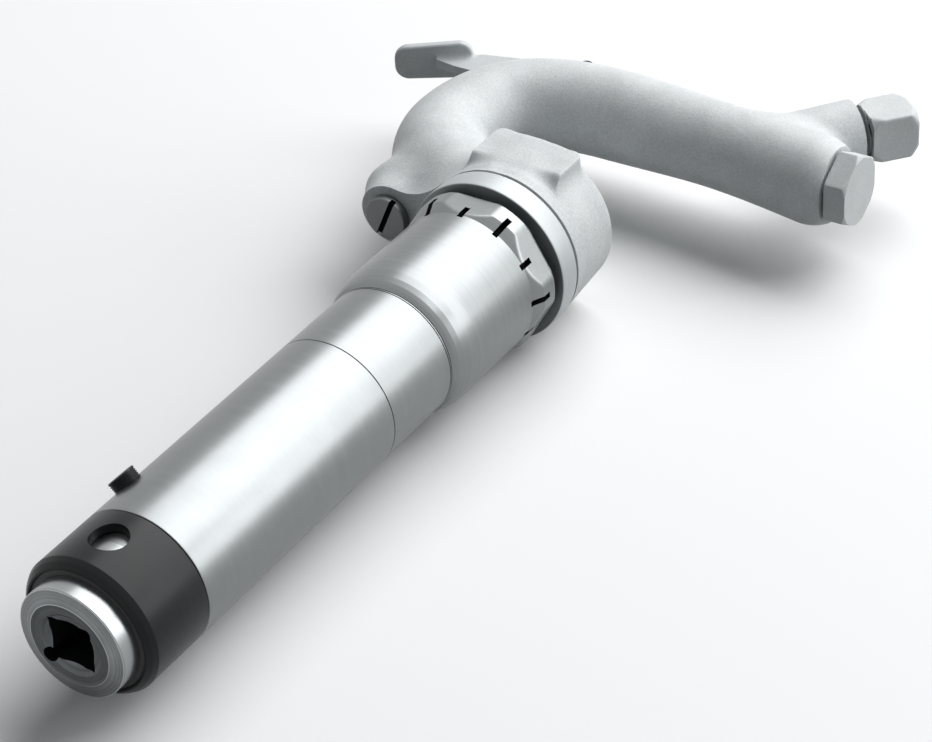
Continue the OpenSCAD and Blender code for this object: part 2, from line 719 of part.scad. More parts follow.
module throttle_lever() {
    turn = 32.6;
    corner = at_pivot(-0.994, -0.2);
    color([0.42, 0.44, 0.45]) difference() {
        union() {
            translate([0, 0, -arm_t / 2]) linear_extrude(height = arm_t) arm_shape();
            translate([corner[0], corner[1], 0]) rotate([90, 0, turn])
                translate([0, 0, -plate_t]) linear_extrude(height = plate_t) plate_shape();
        }
        translate([pivot_x, pivot_y, -3]) cylinder(h = 6, r = pin_r + slide_play);
    }
}

module lever_pin() {
    color([0.5, 0.51, 0.52]) translate([pivot_x, pivot_y, -pin_len / 2])
        cylinder(h = pin_len, r = pin_r);
}

module throttle_valve() {
    x1 = seat_x + seat_len;
    color([0.72, 0.64, 0.38]) union() {
        bar_x(valve_x0, x1, stem_valve_r);
        bar_x(x1 - 0.5, x1 + 1.2, 3.4);
        bar_x(x1 + 1.2, x1 + 6.5, valve_head_r);
        bar_x(x1 + 6.5, x1 + 14, 3.2);
    }
}

module valve_disc() {
    x1 = seat_x + seat_len;
    color([0.1, 0.1, 0.1]) difference() {
        bar_x(x1 + 0.05, x1 + 1.15, valve_head_r);
        bar_x(x1 - 1, x1 + 2, 3.45);
    }
}

module throttle_seat() {
    x0 = seat_x + 0.1;
    color([0.72, 0.6, 0.32]) difference() {
        bar_x(x0, seat_x + seat_len, seat_bore_r - 0.03);
        bar_x(x0 - 1, seat_x + seat_len + 1, seat_hole_r);
        difference() {
            bar_x(x0 + 1.6, x0 + 3.2, seat_bore_r + 1);
            bar_x(x0 + 1, x0 + 4, seat_bore_r - 1.3);
        }
    }
}

module seat_ring() {
    color([0.08, 0.08, 0.08]) difference() {
        bar_x(seat_x + 1.8, seat_x + 3.2, seat_bore_r - 0.02);
        bar_x(seat_x, seat_x + 5, seat_bore_r - 1.25);
    }
}

// Coil spring: one tube that follows a helix, closed at both ends.
spring_x0 = seat_x + seat_len + 6.9;
spring_x1 = grip_end_x - cap_in - fit;
pitch = (spring_x1 - spring_x0 - 2 * wire_r) / curls;
turn_n = 8;
ring_n = curls * turn_n;
module throttle_spring() {
    slope = atan(pitch / (2 * PI * spring_r));
    pts = [for (i = [0:ring_n]) let (t = 360 * i / turn_n,
        c = [spring_x0 + wire_r + pitch * i / turn_n,
            bore_y + spring_r * cos(t), spring_r * sin(t)],
        out = [0, cos(t), sin(t)],
        up = [cos(slope), sin(slope) * sin(t), -sin(slope) * cos(t)])
        for (k = [0:5]) c + wire_r * (cos(60 * k) * out + sin(60 * k) * up)];
    wall = [for (i = [0:ring_n - 1]) for (k = [0:5]) let (a = 6 * i + k,
        b = 6 * i + (k + 1) % 6) for (f = [[a, b + 6, b], [a, a + 6, b + 6]]) f];
    color([0.6, 0.61, 0.62])
        polyhedron(pts, concat([[0, 1, 2, 3, 4, 5]], wall,
            [[for (k = [5:-1:0]) 6 * ring_n + k]]), convexity = 8);
}
echo(spring_gap = pitch - 2 * wire_r);

module throttle_cap() {
    x0 = grip_end_x;
    hx = x0 + 0.9;
    color([0.62, 0.63, 0.64]) difference() {
        union() {
            bar_x(x0 - cap_in, x0 - cap_in + 1.2, throttle_r - 0.8, throttle_r - 0.02);
            bar_x(x0 - cap_in + 1.2, hx + 0.2, throttle_r - 0.02);
            intersection() {
                translate([hx, bore_y, 0]) rotate([0, 90, 0])
                    cylinder(h = cap_hex_len, r = cap_af / sqrt(3), $fn = 6);
                bar_x(hx - 4, hx + cap_hex_len, cap_af / 2 + 9, cap_af / 2 - 0.5);
            }
        }
        bar_x(x0 - cap_in - 1, x0 - cap_in / 2, 3.3);
    }
}

module cap_gasket() {
    color([0.45, 0.46, 0.47]) difference() {
        bar_x(grip_end_x + 0.1, grip_end_x + 0.8, 9.2);
        bar_x(grip_end_x - 1, grip_end_x + 2, throttle_r + 0.1);
    }
}

// Hose inlet

module inlet_bushing() {
    corner = square_af / sqrt(2);
    front = square_len + 2.6;
    bottom = -square_bevel;
    color([0.6, 0.61, 0.63]) difference() {
        union() {
            at_inlet(-neck_len - inlet_thread_len + 1) cylinder(
                h = inlet_thread_len + neck_len - square_bevel, r = inlet_thread_r - 0.02);
            intersection() {
                at_inlet(bottom) translate([-square_af / 2, -square_af / 2, 0])
                    cube([square_af, square_af, front - bottom]);
                at_inlet() rotate_extrude() polygon([[0, bottom],
                    [inlet_thread_r + 0.2, bottom], [corner + 0.05, 0.2],
                    [corner + 0.05, square_len], [square_af / 2 + 0.5, front],
                    [0, front]]);
            }
        }
        at_inlet(front - hose_depth) cylinder(h = hose_depth + 1, r = hose_r);
        at_inlet(front - 0.8) cylinder(h = 0.9, r1 = hose_r, r2 = hose_r + 0.9);
        at_inlet(-30) cylinder(h = 30, r = 4.8);
    }
}

module inlet_strainer() {
    r = 4.7;
    rows = 4;
    start = -neck_len - inlet_thread_len + 1.4;
    color([0.7, 0.6, 0.35]) difference() {
        at_inlet(start) cylinder(h = 16, r = r);
        at_inlet(start + 0.6) cylinder(h = 16, r = r - 0.6);
        for (i = [0:rows - 1]) for (a = [0, 60, 120]) at_inlet(start + 3 + 3.4 * i)
            rotate([90, 0, a]) translate([0, 0, -r - 1]) cylinder(h = 2 * r + 2, r = 0.9);
    }
}

// What is drawn

nozzle_bushing();
wiper_ring();
retainer_sleeve();
lock_plug();
barrel();
bumper_ring();
piston();
valve_box();
spool_valve();
valve_cap();
dowel_pin();
head_gasket();
handle();
passage_plug();
plug_gasket();
throttle_lever();
lever_pin();
throttle_valve();
valve_disc();
throttle_seat();
seat_ring();
throttle_spring();
throttle_cap();
cap_gasket();
inlet_bushing();
inlet_strainer();
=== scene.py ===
"""Pneumatic chisel scaler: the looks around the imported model.

The mesh code works in millimetres, in the frame of the part: Y along the barrel from the
nozzle back, X along the grip, Z square to the plane of the handle.
"""
import math

import bmesh
import bpy
import numpy as np
from mathutils import Matrix, Vector


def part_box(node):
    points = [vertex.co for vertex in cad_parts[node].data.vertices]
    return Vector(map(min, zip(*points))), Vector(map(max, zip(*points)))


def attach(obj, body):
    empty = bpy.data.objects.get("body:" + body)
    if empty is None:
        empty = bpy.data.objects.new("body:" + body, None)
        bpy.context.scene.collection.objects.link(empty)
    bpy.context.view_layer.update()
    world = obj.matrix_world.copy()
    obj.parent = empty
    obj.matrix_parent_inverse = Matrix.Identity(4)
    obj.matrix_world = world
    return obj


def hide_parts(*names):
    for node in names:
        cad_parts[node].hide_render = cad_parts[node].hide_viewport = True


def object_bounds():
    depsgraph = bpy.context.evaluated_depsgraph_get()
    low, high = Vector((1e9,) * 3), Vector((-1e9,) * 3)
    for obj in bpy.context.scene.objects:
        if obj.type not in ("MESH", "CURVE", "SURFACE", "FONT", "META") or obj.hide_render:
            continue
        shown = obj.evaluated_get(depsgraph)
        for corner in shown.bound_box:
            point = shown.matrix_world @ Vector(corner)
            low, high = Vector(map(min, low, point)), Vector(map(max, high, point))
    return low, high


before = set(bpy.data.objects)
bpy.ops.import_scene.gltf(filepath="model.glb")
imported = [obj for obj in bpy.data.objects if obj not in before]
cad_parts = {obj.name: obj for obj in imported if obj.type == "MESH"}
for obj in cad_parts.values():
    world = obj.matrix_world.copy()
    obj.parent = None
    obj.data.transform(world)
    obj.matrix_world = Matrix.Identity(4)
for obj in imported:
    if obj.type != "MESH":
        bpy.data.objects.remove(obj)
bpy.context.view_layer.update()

MM = 0.001
SEGMENTS = 192


def span(node):
    """Lowest and highest corner of a CAD node, in millimetres."""
    low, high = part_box(node)
    return np.array(low) / MM, np.array(high) / MM


# Sizes in millimetres: the outer ones come from the frame

sleeve_low, sleeve_high = span("retainer_sleeve")
barrel_low, barrel_high = span("barrel")
handle_low, handle_high = span("handle")
plug_low, plug_high = span("passage_plug")
cap_low, cap_high = span("throttle_cap")
pin_low, pin_high = span("lever_pin")
lever_low, lever_high = span("throttle_lever")
inlet_low, inlet_high = span("inlet_bushing")

FRONT_R = sleeve_high[0]
SLEEVE_FRONT = sleeve_low[1]
SLEEVE_REAR = sleeve_high[1]
COLLAR_R = barrel_high[0]
REAR_R = COLLAR_R - 1.76
FLARE_Y = 142.3
FLARE_LEN = 11.0
SCRIBE_Y = 113.5
GROOVES_Y = (SCRIBE_Y, FLARE_Y - 0.7, FLARE_Y)
HEAD_FRONT = handle_low[1]
COLLAR_LEN = 9.5
COLLAR_Y = HEAD_FRONT - 2.5 - COLLAR_LEN
COLLAR_AF = 2 * REAR_R + 0.52
REGISTER_R = 25.8
REGISTER_END = HEAD_FRONT + 7.7
HEAD_REAR = HEAD_FRONT + 31.2
HEAD_REAR_R = 24.2
HEAD_BORE_R = 19.43
FLAT_H = 24.6
BORE_Y = (cap_low[1] + cap_high[1]) / 2
GRIP_END_X = handle_high[0]
CAP_HALF = (cap_high[1] - cap_low[1]) / 2
CAP_BORE_R = 8
PIVOT = np.array([(pin_low[0] + pin_high[0]) / 2, (pin_low[1] + pin_high[1]) / 2, 0])
EAR_X = (plug_low[0] + plug_high[0]) / 2
EAR_FRONT = HEAD_FRONT + 8.7
EAR_R = 8.9
INLET_ANGLE = math.radians(48.5)
INLET_DIR = np.array([math.cos(INLET_ANGLE), math.sin(INLET_ANGLE), 0])
INLET_POINT = np.array([66.6, BORE_Y + 34.1, 0])
NECK_LEN = 6.3
SQUARE_AF = 15.1
SQUARE_LEN = 9.4
HOSE_BORE_R = 5.7


# Mesh helpers

def new_object(name, points, faces, material=None, smooth_angle=35):
    """Object from points in millimetres, smooth except across sharp edges."""
    mesh = bpy.data.meshes.new(name)
    mesh.from_pydata((np.asarray(points) * MM).tolist(), [], [list(f) for f in faces])
    mesh.validate()
    obj = bpy.data.objects.new(name, mesh)
    bpy.context.scene.collection.objects.link(obj)
    shade(obj, smooth_angle)
    if material:
        obj.data.materials.append(material)
    return obj


def shade(obj, smooth_angle=35):
    """Smooth shading, with the edges sharper than an angle kept."""
    obj.data.polygons.foreach_set("use_smooth", [True] * len(obj.data.polygons))
    obj.data.set_sharp_from_angle(angle=math.radians(smooth_angle))


def rounded(corners, steps=5):
    """Outline with an arc at each corner that names a third number, its radius."""
    out = []
    count = len(corners)
    for i, corner in enumerate(corners):
        p = np.array(corner[:2], float)
        if len(corner) < 3:
            out.append(p)
            continue
        before = np.array(corners[i - 1][:2], float) - p
        after = np.array(corners[(i + 1) % count][:2], float) - p
        room = 0.49 * min(np.linalg.norm(before), np.linalg.norm(after))
        before /= np.linalg.norm(before)
        after /= np.linalg.norm(after)
        half = math.acos(np.clip(before @ after, -1, 1)) / 2
        reach = min(corner[2] / math.tan(half), room)
        radius = reach * math.tan(half)
        centre = p + (before + after) / np.linalg.norm(before + after) * radius / math.sin(half)
        start = p + before * reach - centre
        end = p + after * reach - centre
        for t in np.linspace(0, 1, steps + 1):
            arc = (1 - t) * start + t * end
            out.append(centre + arc / np.linalg.norm(arc) * radius)
    return out


def lathe(name, corners, material=None, segments=SEGMENTS):
    """Closed body turned about the barrel axis, from (radius, y[, corner radius])."""
    outline = rounded(corners)
    angles = [2 * math.pi * k / segments for k in range(segments)]
    points = [(r * math.cos(a), y, r * math.sin(a)) for r, y in outline for a in angles]
    faces = []
    for i in range(len(outline)):
        j = (i + 1) % len(outline)
        if outline[i][0] < 1e-6 and outline[j][0] < 1e-6:
            continue
        for k in range(segments):
            m = (k + 1) % segments
            faces.append((i * segments + k, i * segments + m, j * segments + m, j * segments + k))
    obj = new_object(name, points, faces, material)
    tidy(obj)
    return obj


def tidy(obj):
    """Merges double points, turns the faces outwards and shades again."""
    work = bmesh.new()
    work.from_mesh(obj.data)
    bmesh.ops.remove_doubles(work, verts=work.verts, dist=0.002 * MM)
    bmesh.ops.dissolve_degenerate(work, edges=work.edges, dist=0.001 * MM)
    bmesh.ops.recalc_face_normals(work, faces=work.faces)
    work.to_mesh(obj.data)
    work.free()
    shade(obj)


def place(obj, matrix):
    """Moves the mesh itself, so that the object stays at the origin."""
    obj.data.transform(matrix)


def axis_frame(point, direction):
    """Matrix that takes the Y axis of a turned piece to a direction through a point."""
    turn = Vector((0, 1, 0)).rotation_difference(Vector(direction)).to_matrix().to_4x4()
    return Matrix.Translation(Vector(point) * MM) @ turn


def block(name, low, high):
    """Plain box that only serves as a cutter."""
    x, y, z = zip(low, high)
    points = [(a, b, c) for a in x for b in y for c in z]
    faces = [(0, 1, 3, 2), (4, 6, 7, 5), (0, 4, 5, 1), (2, 3, 7, 6), (0, 2, 6, 4), (1, 5, 7, 3)]
    obj = new_object(name, points, faces)
    tidy(obj)
    return obj


def carve(piece, *cutters):
    """Takes the cutters out of a piece and deletes them."""
    for cutter in cutters:
        cut = piece.modifiers.new("cut", "BOOLEAN")
        cut.object = cutter
        cut.operation = "DIFFERENCE"
        cut.solver = "EXACT"
        with bpy.context.temp_override(object=piece, active_object=piece):
            bpy.ops.object.modifier_apply(modifier=cut.name)
        bpy.data.objects.remove(cutter)
    shade(piece)


def paint(obj, material, where):
    """Gives one more material to the faces that a test picks by centre in mm and normal."""
    mesh = obj.data
    mesh.materials.append(material)
    count = len(mesh.polygons)
    centres = np.empty(count * 3)
    normals = np.empty(count * 3)
    slots = np.empty(count, np.int32)
    mesh.polygons.foreach_get("center", centres)
    mesh.polygons.foreach_get("normal", normals)
    mesh.polygons.foreach_get("material_index", slots)
    slots[where(centres.reshape(-1, 3) / MM, normals.reshape(-1, 3))] = len(mesh.materials) - 1
    mesh.polygons.foreach_set("material_index", slots)


def radius_of(p):
    """Distance of points from the barrel axis."""
    return np.sqrt(p[..., 0] ** 2 + p[..., 2] ** 2)


def ease(t):
    """Rise from 0 to 1 that starts and ends level."""
    return t * t * (3 - 2 * t)


# Distance fields: each returns the distance from points to a body, negative inside

def length(v):
    """Lengths of vectors along the last axis."""
    return np.sqrt((v * v).sum(-1))


def meet(slabs):
    """Distance to where slabs meet, from the distances to each along the last axis."""
    return length(np.maximum(slabs, 0)) + np.minimum(slabs.max(-1), 0)


def outline_distance(x, y, corners):
    """Distance to a closed outline in the plane."""
    best = np.full(x.shape, 1e9)
    inside = np.zeros(x.shape, bool)
    for i in range(len(corners)):
        ax, ay = corners[i]
        bx, by = corners[i - 1]
        ex, ey = bx - ax, by - ay
        if ex == 0 and ey == 0:
            continue
        wx, wy = x - ax, y - ay
        t = np.clip((wx * ex + wy * ey) / (ex * ex + ey * ey), 0, 1)
        best = np.minimum(best, (wx - ex * t) ** 2 + (wy - ey * t) ** 2)
        if ey != 0:
            crosses = ((ay > y) != (by > y)) & (x < ax + ex * (y - ay) / ey)
            inside ^= crosses
    return np.where(inside, -1, 1) * np.sqrt(best)


def turned_distance(p, corners, round_by=0):
    """Body turned about the barrel axis, its edges rounded by a radius."""
    closed = corners + [(-r, y) for r, y in reversed(corners)]
    return outline_distance(radius_of(p), p[..., 1], closed) - round_by


def rod(p, start, end, radius, end_radius=None):
    """Cylinder or cone between two points, with flat ends."""
    a = np.array(start, float)
    axis = np.array(end, float) - a
    size = np.linalg.norm(axis)
    axis /= size
    along = (p - a) @ axis
    off = length(p - a - along[..., None] * axis)
    wide = radius if end_radius is None else radius + (end_radius - radius) * along / size
    side = off - wide
    ends = np.abs(along - size / 2) - size / 2
    outside = np.sqrt(np.maximum(side, 0) ** 2 + np.maximum(ends, 0) ** 2)
    return outside + np.minimum(np.maximum(side, ends), 0)


def box_distance(p, low, high, round_by):
    """Box between two corners, its edges rounded by a radius."""
    centre = (np.array(low, float) + high) / 2
    half = (np.array(high, float) - low) / 2 - round_by
    return meet(np.abs(p - centre) - half) - round_by


def blend_in(a, b, reach):
    """Union of two bodies with a fillet that starts at this reach."""
    h = np.maximum(reach - np.abs(a - b), 0) / reach
    return np.minimum(a, b) - h * h * reach / 4


def cut_out(a, b, reach):
    """Body a without body b, with the edge rounded over the reach."""
    return -blend_in(-a, b, reach)


def contour(name, field, low, high, step, material, smooth_angle=32):
    """Quad mesh of the zero surface of a field, with its sharp edges kept.

    The field is sampled in blocks of points, and in full only where the surface may pass.
    Where it crosses the edge of a cell, the point and its normal are found, and each cell
    gets the corner that lies best on the planes of its crossings.
    """
    side = 8
    low = np.array(low, float) - 1.5 * step
    blocks = np.ceil((np.array(high) + 1.5 * step - low) / (side * step)).astype(int)
    index = np.stack(np.meshgrid(*[np.arange(b) for b in blocks], indexing="ij"), -1)
    centres = low + (index * side + (side - 1) / 2) * step
    coarse = field(centres)
    near = np.abs(coarse) < 0.5 * math.sqrt(3) * side * step * 1.2
    values = np.broadcast_to(coarse[..., None, None, None], (*blocks, side, side, side)).copy()
    inner = np.stack(np.meshgrid(*[np.arange(side)] * 3, indexing="ij"), -1)
    points = low + (index[near][:, None, None, None] * side + inner) * step
    values[near] = field(points)
    values = values.transpose(0, 3, 1, 4, 2, 5).reshape(blocks * side)
    inside = values < 0
    shape = np.array(inside.shape)

    starts, ends, axes = [], [], []
    for axis in range(3):
        first = np.take(inside, range(shape[axis] - 1), axis)
        second = np.take(inside, range(1, shape[axis]), axis)
        cells = np.argwhere(first != second)
        starts.append(cells)
        ends.append(cells + np.eye(3, dtype=int)[axis])
        axes.append(np.full(len(cells), axis))
    starts, ends, axes = map(np.concatenate, (starts, ends, axes))

    a = low + starts * step
    b = low + ends * step
    va = values[tuple(starts.T)]
    vb = values[tuple(ends.T)]
    for _ in range(4):
        t = np.clip(va / (va - vb), 0.02, 0.98)[:, None]
        middle = a + (b - a) * t
        vm = field(middle)
        same = (vm < 0) == (va < 0)
        a = np.where(same[:, None], middle, a)
        va = np.where(same, vm, va)
        b = np.where(same[:, None], b, middle)
        vb = np.where(same, vb, vm)
    hits = a + (b - a) * (va / (va - vb))[:, None]
    small = 0.02 * step
    normals = np.stack([field(hits + small * e) - field(hits - small * e) for e in np.eye(3)], -1)
    normals /= np.maximum(length(normals), 1e-12)[:, None]

    # The four cells round each crossed edge, in order round it.
    other = {0: (1, 2), 1: (2, 0), 2: (0, 1)}
    quads = []
    for axis in range(3):
        u, v = np.eye(3, dtype=int)[list(other[axis])]
        own = starts[axes == axis]
        quads.append(np.stack([own - u - v, own - v, own, own - u], 1))
    quads = np.concatenate(quads)
    keys = np.ravel_multi_index(quads.reshape(-1, 3).T, shape)
    cells, which = np.unique(keys, return_inverse=True)
    which = which.reshape(-1, 4)
    total = len(cells)

    def gather(weights):
        return sum(np.bincount(which[:, k], weights, total) for k in range(4))

    count = gather(np.ones(len(hits)))
    mean = np.stack([gather(hits[:, i]) for i in range(3)], -1) / count[:, None]
    offset = (hits * normals).sum(-1)
    matrix = np.zeros((total, 3, 3))
    right = np.zeros((total, 3))
    for i in range(3):
        right[:, i] = gather(normals[:, i] * offset)
        for j in range(3):
            matrix[:, i, j] = gather(normals[:, i] * normals[:, j])
    hold = 0.03  # weight of the mean point, where the planes leave the corner free
    matrix += hold * np.eye(3)
    right += hold * mean
    best = np.linalg.solve(matrix, right[..., None])[..., 0]
    corner = low + np.stack(np.unravel_index(cells, shape), -1) * step
    best = np.clip(best, corner - 0.1 * step, corner + 1.1 * step)

    flip = inside[tuple(starts.T)]
    faces = np.where(flip[:, None], which, which[:, ::-1])
    return new_object(name, best, faces.tolist(), material, smooth_angle)


# Materials

def new_material(name):
    """New material with its node tree and its shader."""
    material = bpy.data.materials.new(name)
    material.use_nodes = True
    tree = material.node_tree
    return material, tree, tree.nodes["Principled BSDF"]


def node(tree, kind, **settings):
    """Adds a node and sets its properties, or its sockets by name."""
    made = tree.nodes.new(kind)
    for key, value in settings.items():
        if hasattr(made, key):
            setattr(made, key, value)
        else:
            made.inputs[key.replace("_", " ")].default_value = value
    return made


def place_node(tree):
    """Object coordinates in millimetres."""
    place_in = node(tree, "ShaderNodeTexCoord")
    mapping = node(tree, "ShaderNodeMapping")
    mapping.inputs["Scale"].default_value = [1 / MM] * 3
    tree.links.new(place_in.outputs["Object"], mapping.inputs["Vector"])
    return mapping.outputs["Vector"]


def noise(tree, vector, scale, detail=2, rough=0.5):
    """Grey noise with this many waves per millimetre."""
    made = node(tree, "ShaderNodeTexNoise", Scale=scale, Detail=detail, Roughness=rough)
    tree.links.new(vector, made.inputs["Vector"])
    return made.outputs["Fac"]


def ramp(tree, value, stops):
    """Colour ramp from (place, colour or grey) stops."""
    made = node(tree, "ShaderNodeValToRGB")
    while len(made.color_ramp.elements) < len(stops):
        made.color_ramp.elements.new(0.5)
    for element, (at, colour) in zip(made.color_ramp.elements, stops):
        element.position = at
        element.color = (*colour, 1) if hasattr(colour, "__len__") else (colour,) * 3 + (1,)
    tree.links.new(value, made.inputs["Fac"])
    return made.outputs["Color"]


def maths(tree, operation, a, b=None):
    """Math node; a and b are numbers or the outputs of other nodes."""
    made = node(tree, "ShaderNodeMath", operation=operation)
    for socket, value in zip(made.inputs, (a, b)):
        if value is None:
            continue
        if isinstance(value, (int, float)):
            socket.default_value = value
        else:
            tree.links.new(value, socket)
    return made.outputs["Value"]


def bump(tree, shader, height, distance):
    """Relief that is this many millimetres high."""
    made = node(tree, "ShaderNodeBump", Strength=1.0)
    made.inputs["Distance"].default_value = distance * MM
    tree.links.new(height, made.inputs["Height"])
    tree.links.new(made.outputs["Normal"], shader.inputs["Normal"])


CAST_GRAIN = 0.09


def cast_material(name, light, dark, roughness):
    """Blasted casting: mottled grey with a fine grain."""
    material, tree, shader = new_material(name)
    vector = place_node(tree)
    fine = noise(tree, vector, 1.4, 3, 0.75)
    mottle = maths(tree, "ADD", maths(tree, "MULTIPLY", noise(tree, vector, 0.09, 3), 0.35),
                   maths(tree, "MULTIPLY", fine, 0.65))
    tree.links.new(ramp(tree, mottle, [(0.4, dark), (0.6, light)]), shader.inputs["Base Color"])
    tree.links.new(ramp(tree, fine, [(0.3, roughness - 0.06), (0.7, roughness + 0.06)]),
                   shader.inputs["Roughness"])
    bump(tree, shader, fine, CAST_GRAIN)
    shader.inputs["Metallic"].default_value = 0.0
    shader.inputs["IOR"].default_value = 1.6
    return material


# Colour sockets of the Mix node, whose names stand for several sockets each
MIX_A, MIX_B, MIX_RESULT = 6, 7, 2


def near_line(tree, value, places, half_width):
    """One where the value is near one of the places, else zero."""
    found = None
    for at in places:
        gap = maths(tree, "ABSOLUTE", maths(tree, "SUBTRACT", value, at))
        mark = maths(tree, "LESS_THAN", gap, half_width)
        found = mark if found is None else maths(tree, "MAXIMUM", found, mark)
    return found


def turned_material(name, colour, roughness, ring=0.003, streak=0.06, metallic=1.0,
                    specular=0.5, painted_shade_at=(), painted_highlight_radii=()):
    """Turned steel with fine rings.

    Painted shade lies as dark lines at the places painted_shade_at along the axis, and painted
    highlights as bright rings at painted_highlight_radii.
    """
    material, tree, shader = new_material(name)
    split = node(tree, "ShaderNodeSeparateXYZ")
    tree.links.new(place_node(tree), split.inputs["Vector"])
    x, y, z = split.outputs
    radius = maths(tree, "SQRT", maths(tree, "ADD", maths(tree, "MULTIPLY", x, x),
                                       maths(tree, "MULTIPLY", z, z)))
    join = node(tree, "ShaderNodeCombineXYZ")
    tree.links.new(y, join.inputs["X"])
    tree.links.new(radius, join.inputs["Y"])
    rings = noise(tree, join.outputs["Vector"], 6.0, 3, 0.7)
    wide = noise(tree, join.outputs["Vector"], 0.5, 2)
    mottle = noise(tree, place_node(tree), 0.12, 3)
    shade_by = maths(tree, "ADD", maths(tree, "MULTIPLY", rings, 0.6),
                     maths(tree, "MULTIPLY", maths(tree, "ADD", wide, mottle), 0.2))
    low = [c * (1 - streak) for c in colour]
    high = [min(1, c * (1 + streak)) for c in colour]
    colour_out = ramp(tree, shade_by, [(0.35, low), (0.65, high)])
    # Painted shade as dark lines along the axis, and painted highlights as bright rings.
    for value, places, half_width, tone in (
            (y, painted_shade_at, 0.17, (0.03, 0.033, 0.036, 1)),
            (radius, painted_highlight_radii, 0.1, (0.45, 0.48, 0.49, 1))):
        if places:
            mix = node(tree, "ShaderNodeMix", data_type="RGBA")
            tree.links.new(near_line(tree, value, places, half_width), mix.inputs["Factor"])
            tree.links.new(colour_out, mix.inputs[MIX_A])
            mix.inputs[MIX_B].default_value = tone
            colour_out = mix.outputs[MIX_RESULT]
    tree.links.new(colour_out, shader.inputs["Base Color"])
    tree.links.new(ramp(tree, wide, [(0.3, roughness - 0.015), (0.7, roughness + 0.015)]),
                   shader.inputs["Roughness"])
    bump(tree, shader, rings, ring)
    shader.inputs["Metallic"].default_value = metallic
    shader.inputs["Specular IOR Level"].default_value = specular
    return material


casting = cast_material("blasted_casting", (0.66, 0.69, 0.70), (0.515, 0.54, 0.55), 0.55)
cast_lever = cast_material("blasted_lever", (0.54, 0.57, 0.58), (0.47, 0.495, 0.505), 0.5)
cast_steel = cast_material("blasted_steel", (0.60, 0.63, 0.64), (0.52, 0.545, 0.555), 0.5)
machined = turned_material("machined_band", (0.50, 0.53, 0.54), 0.45, metallic=0.3, specular=0.3)
# Painted shade: the dark tone of the forward-facing front face and of the bore in the head.
painted_shade_front = turned_material("front_painted_shade", (0.16, 0.172, 0.178), 0.5)
# The dark lines at the barrel's grooves are painted shade.
bright = turned_material("bright_barrel", (0.215, 0.226, 0.23), 0.34, 0.0008, 0.11,
                         painted_shade_at=GROOVES_Y)
# The bright rings on the nozzle face are painted highlights on its ridge and rim.
nozzle_steel = turned_material("nozzle_face", (0.21, 0.22, 0.225), 0.42, 0.012, 0.45,
                               painted_highlight_radii=(12.15, 15.95))
nozzle_side = turned_material("nozzle_side", (0.3, 0.315, 0.32), 0.3, 0.001, 0.08)
cup_steel = turned_material("nozzle_cup", (0.11, 0.117, 0.121), 0.45, 0.012, 0.35)
# Black oxide for the sleeve and the lock plug; on the lever pin the same black is painted shade.
black = turned_material("black_oxide_and_shade", (0.011, 0.0122, 0.0133), 0.34, 0.003, 0.3, 0.0, 0.18)
shadow = turned_material("dark_recess", (0.008, 0.0085, 0.009), 0.8, 0.001, 0.1, 0.0, 0.05)
# The thread's own darker steel, together with painted shade in the inlet's bore and round its
# neck.
thread_and_shade_steel = turned_material("dark_thread_and_shade", (0.10, 0.107, 0.11), 0.5)
screw_steel = turned_material("screw_steel", (0.16, 0.168, 0.172), 0.45, metallic=0.6)
ground = turned_material("ground_steel", (0.52, 0.54, 0.55), 0.25)
bronze = turned_material("bronze", (0.60, 0.45, 0.22), 0.32)
gasket = cast_material("gasket_steel", (0.10, 0.106, 0.11), (0.07, 0.075, 0.078), 0.5)
rubber = cast_material("rubber", (0.035, 0.035, 0.036), (0.02, 0.02, 0.021), 0.6)

# The solids that stay as they are get a material of their own.
for node_name, material in {
        "wiper_ring": rubber, "bumper_ring": rubber, "head_gasket": rubber,
        "seat_ring": rubber, "valve_disc": rubber, "piston": ground, "spool_valve": ground,
        # The lever pin is black so that its end reads as a shaded hole: painted shade.
        "valve_cap": ground, "dowel_pin": ground, "lever_pin": black,
        "throttle_spring": ground, "valve_box": bronze, "throttle_valve": bronze,
        "throttle_seat": bronze, "inlet_strainer": bronze, "plug_gasket": gasket,
        "cap_gasket": gasket}.items():
    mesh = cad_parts[node_name].data
    mesh.materials.clear()
    mesh.materials.append(material)


# Handle casting

def bezier(a, b, c, d, t):
    """Points of a cubic curve from a to d at the shares t of the way."""
    a, b, c, d = (np.array(v, float) for v in (a, b, c, d))
    t = np.asarray(t)[:, None]
    return (1 - t) ** 3 * a + 3 * t * (1 - t) ** 2 * b + 3 * t ** 2 * (1 - t) * c + t ** 3 * d


BEND = (-48.3, HEAD_FRONT + 57.2)
GRIP_Y = HEAD_FRONT + 90.8
DOME = 7.0
RAMP = 5.5
steps = np.linspace(0, 1, 60)
centre_line = np.concatenate([
    bezier((-14, HEAD_FRONT + 18.2), (-33, HEAD_FRONT + 30.2), (BEND[0], HEAD_FRONT + 43.2),
           BEND, steps[:-1]),
    bezier(BEND, (BEND[0], BEND[1] + 21), (-37, GRIP_Y + 0.2), (-10, GRIP_Y), steps[:-1]),
    bezier((-10, GRIP_Y), (20, GRIP_Y), (45, BORE_Y + 3.4), (GRIP_END_X - DOME, BORE_Y), steps)])
waist = ease(np.minimum(2 * steps, 2 - 2 * steps))
NECK_TUBE_R, BEND_R, GRIP_R, GRIP_END_R = 16.8, 14.7, 14.3, 13.8
grip_radius = np.concatenate([
    NECK_TUBE_R + (BEND_R - NECK_TUBE_R) * ease(steps)[:-1],
    BEND_R + (GRIP_R - BEND_R) * ease(steps)[:-1],
    np.where(steps < 0.5, GRIP_R - waist, GRIP_END_R - 0.5 * waist)])


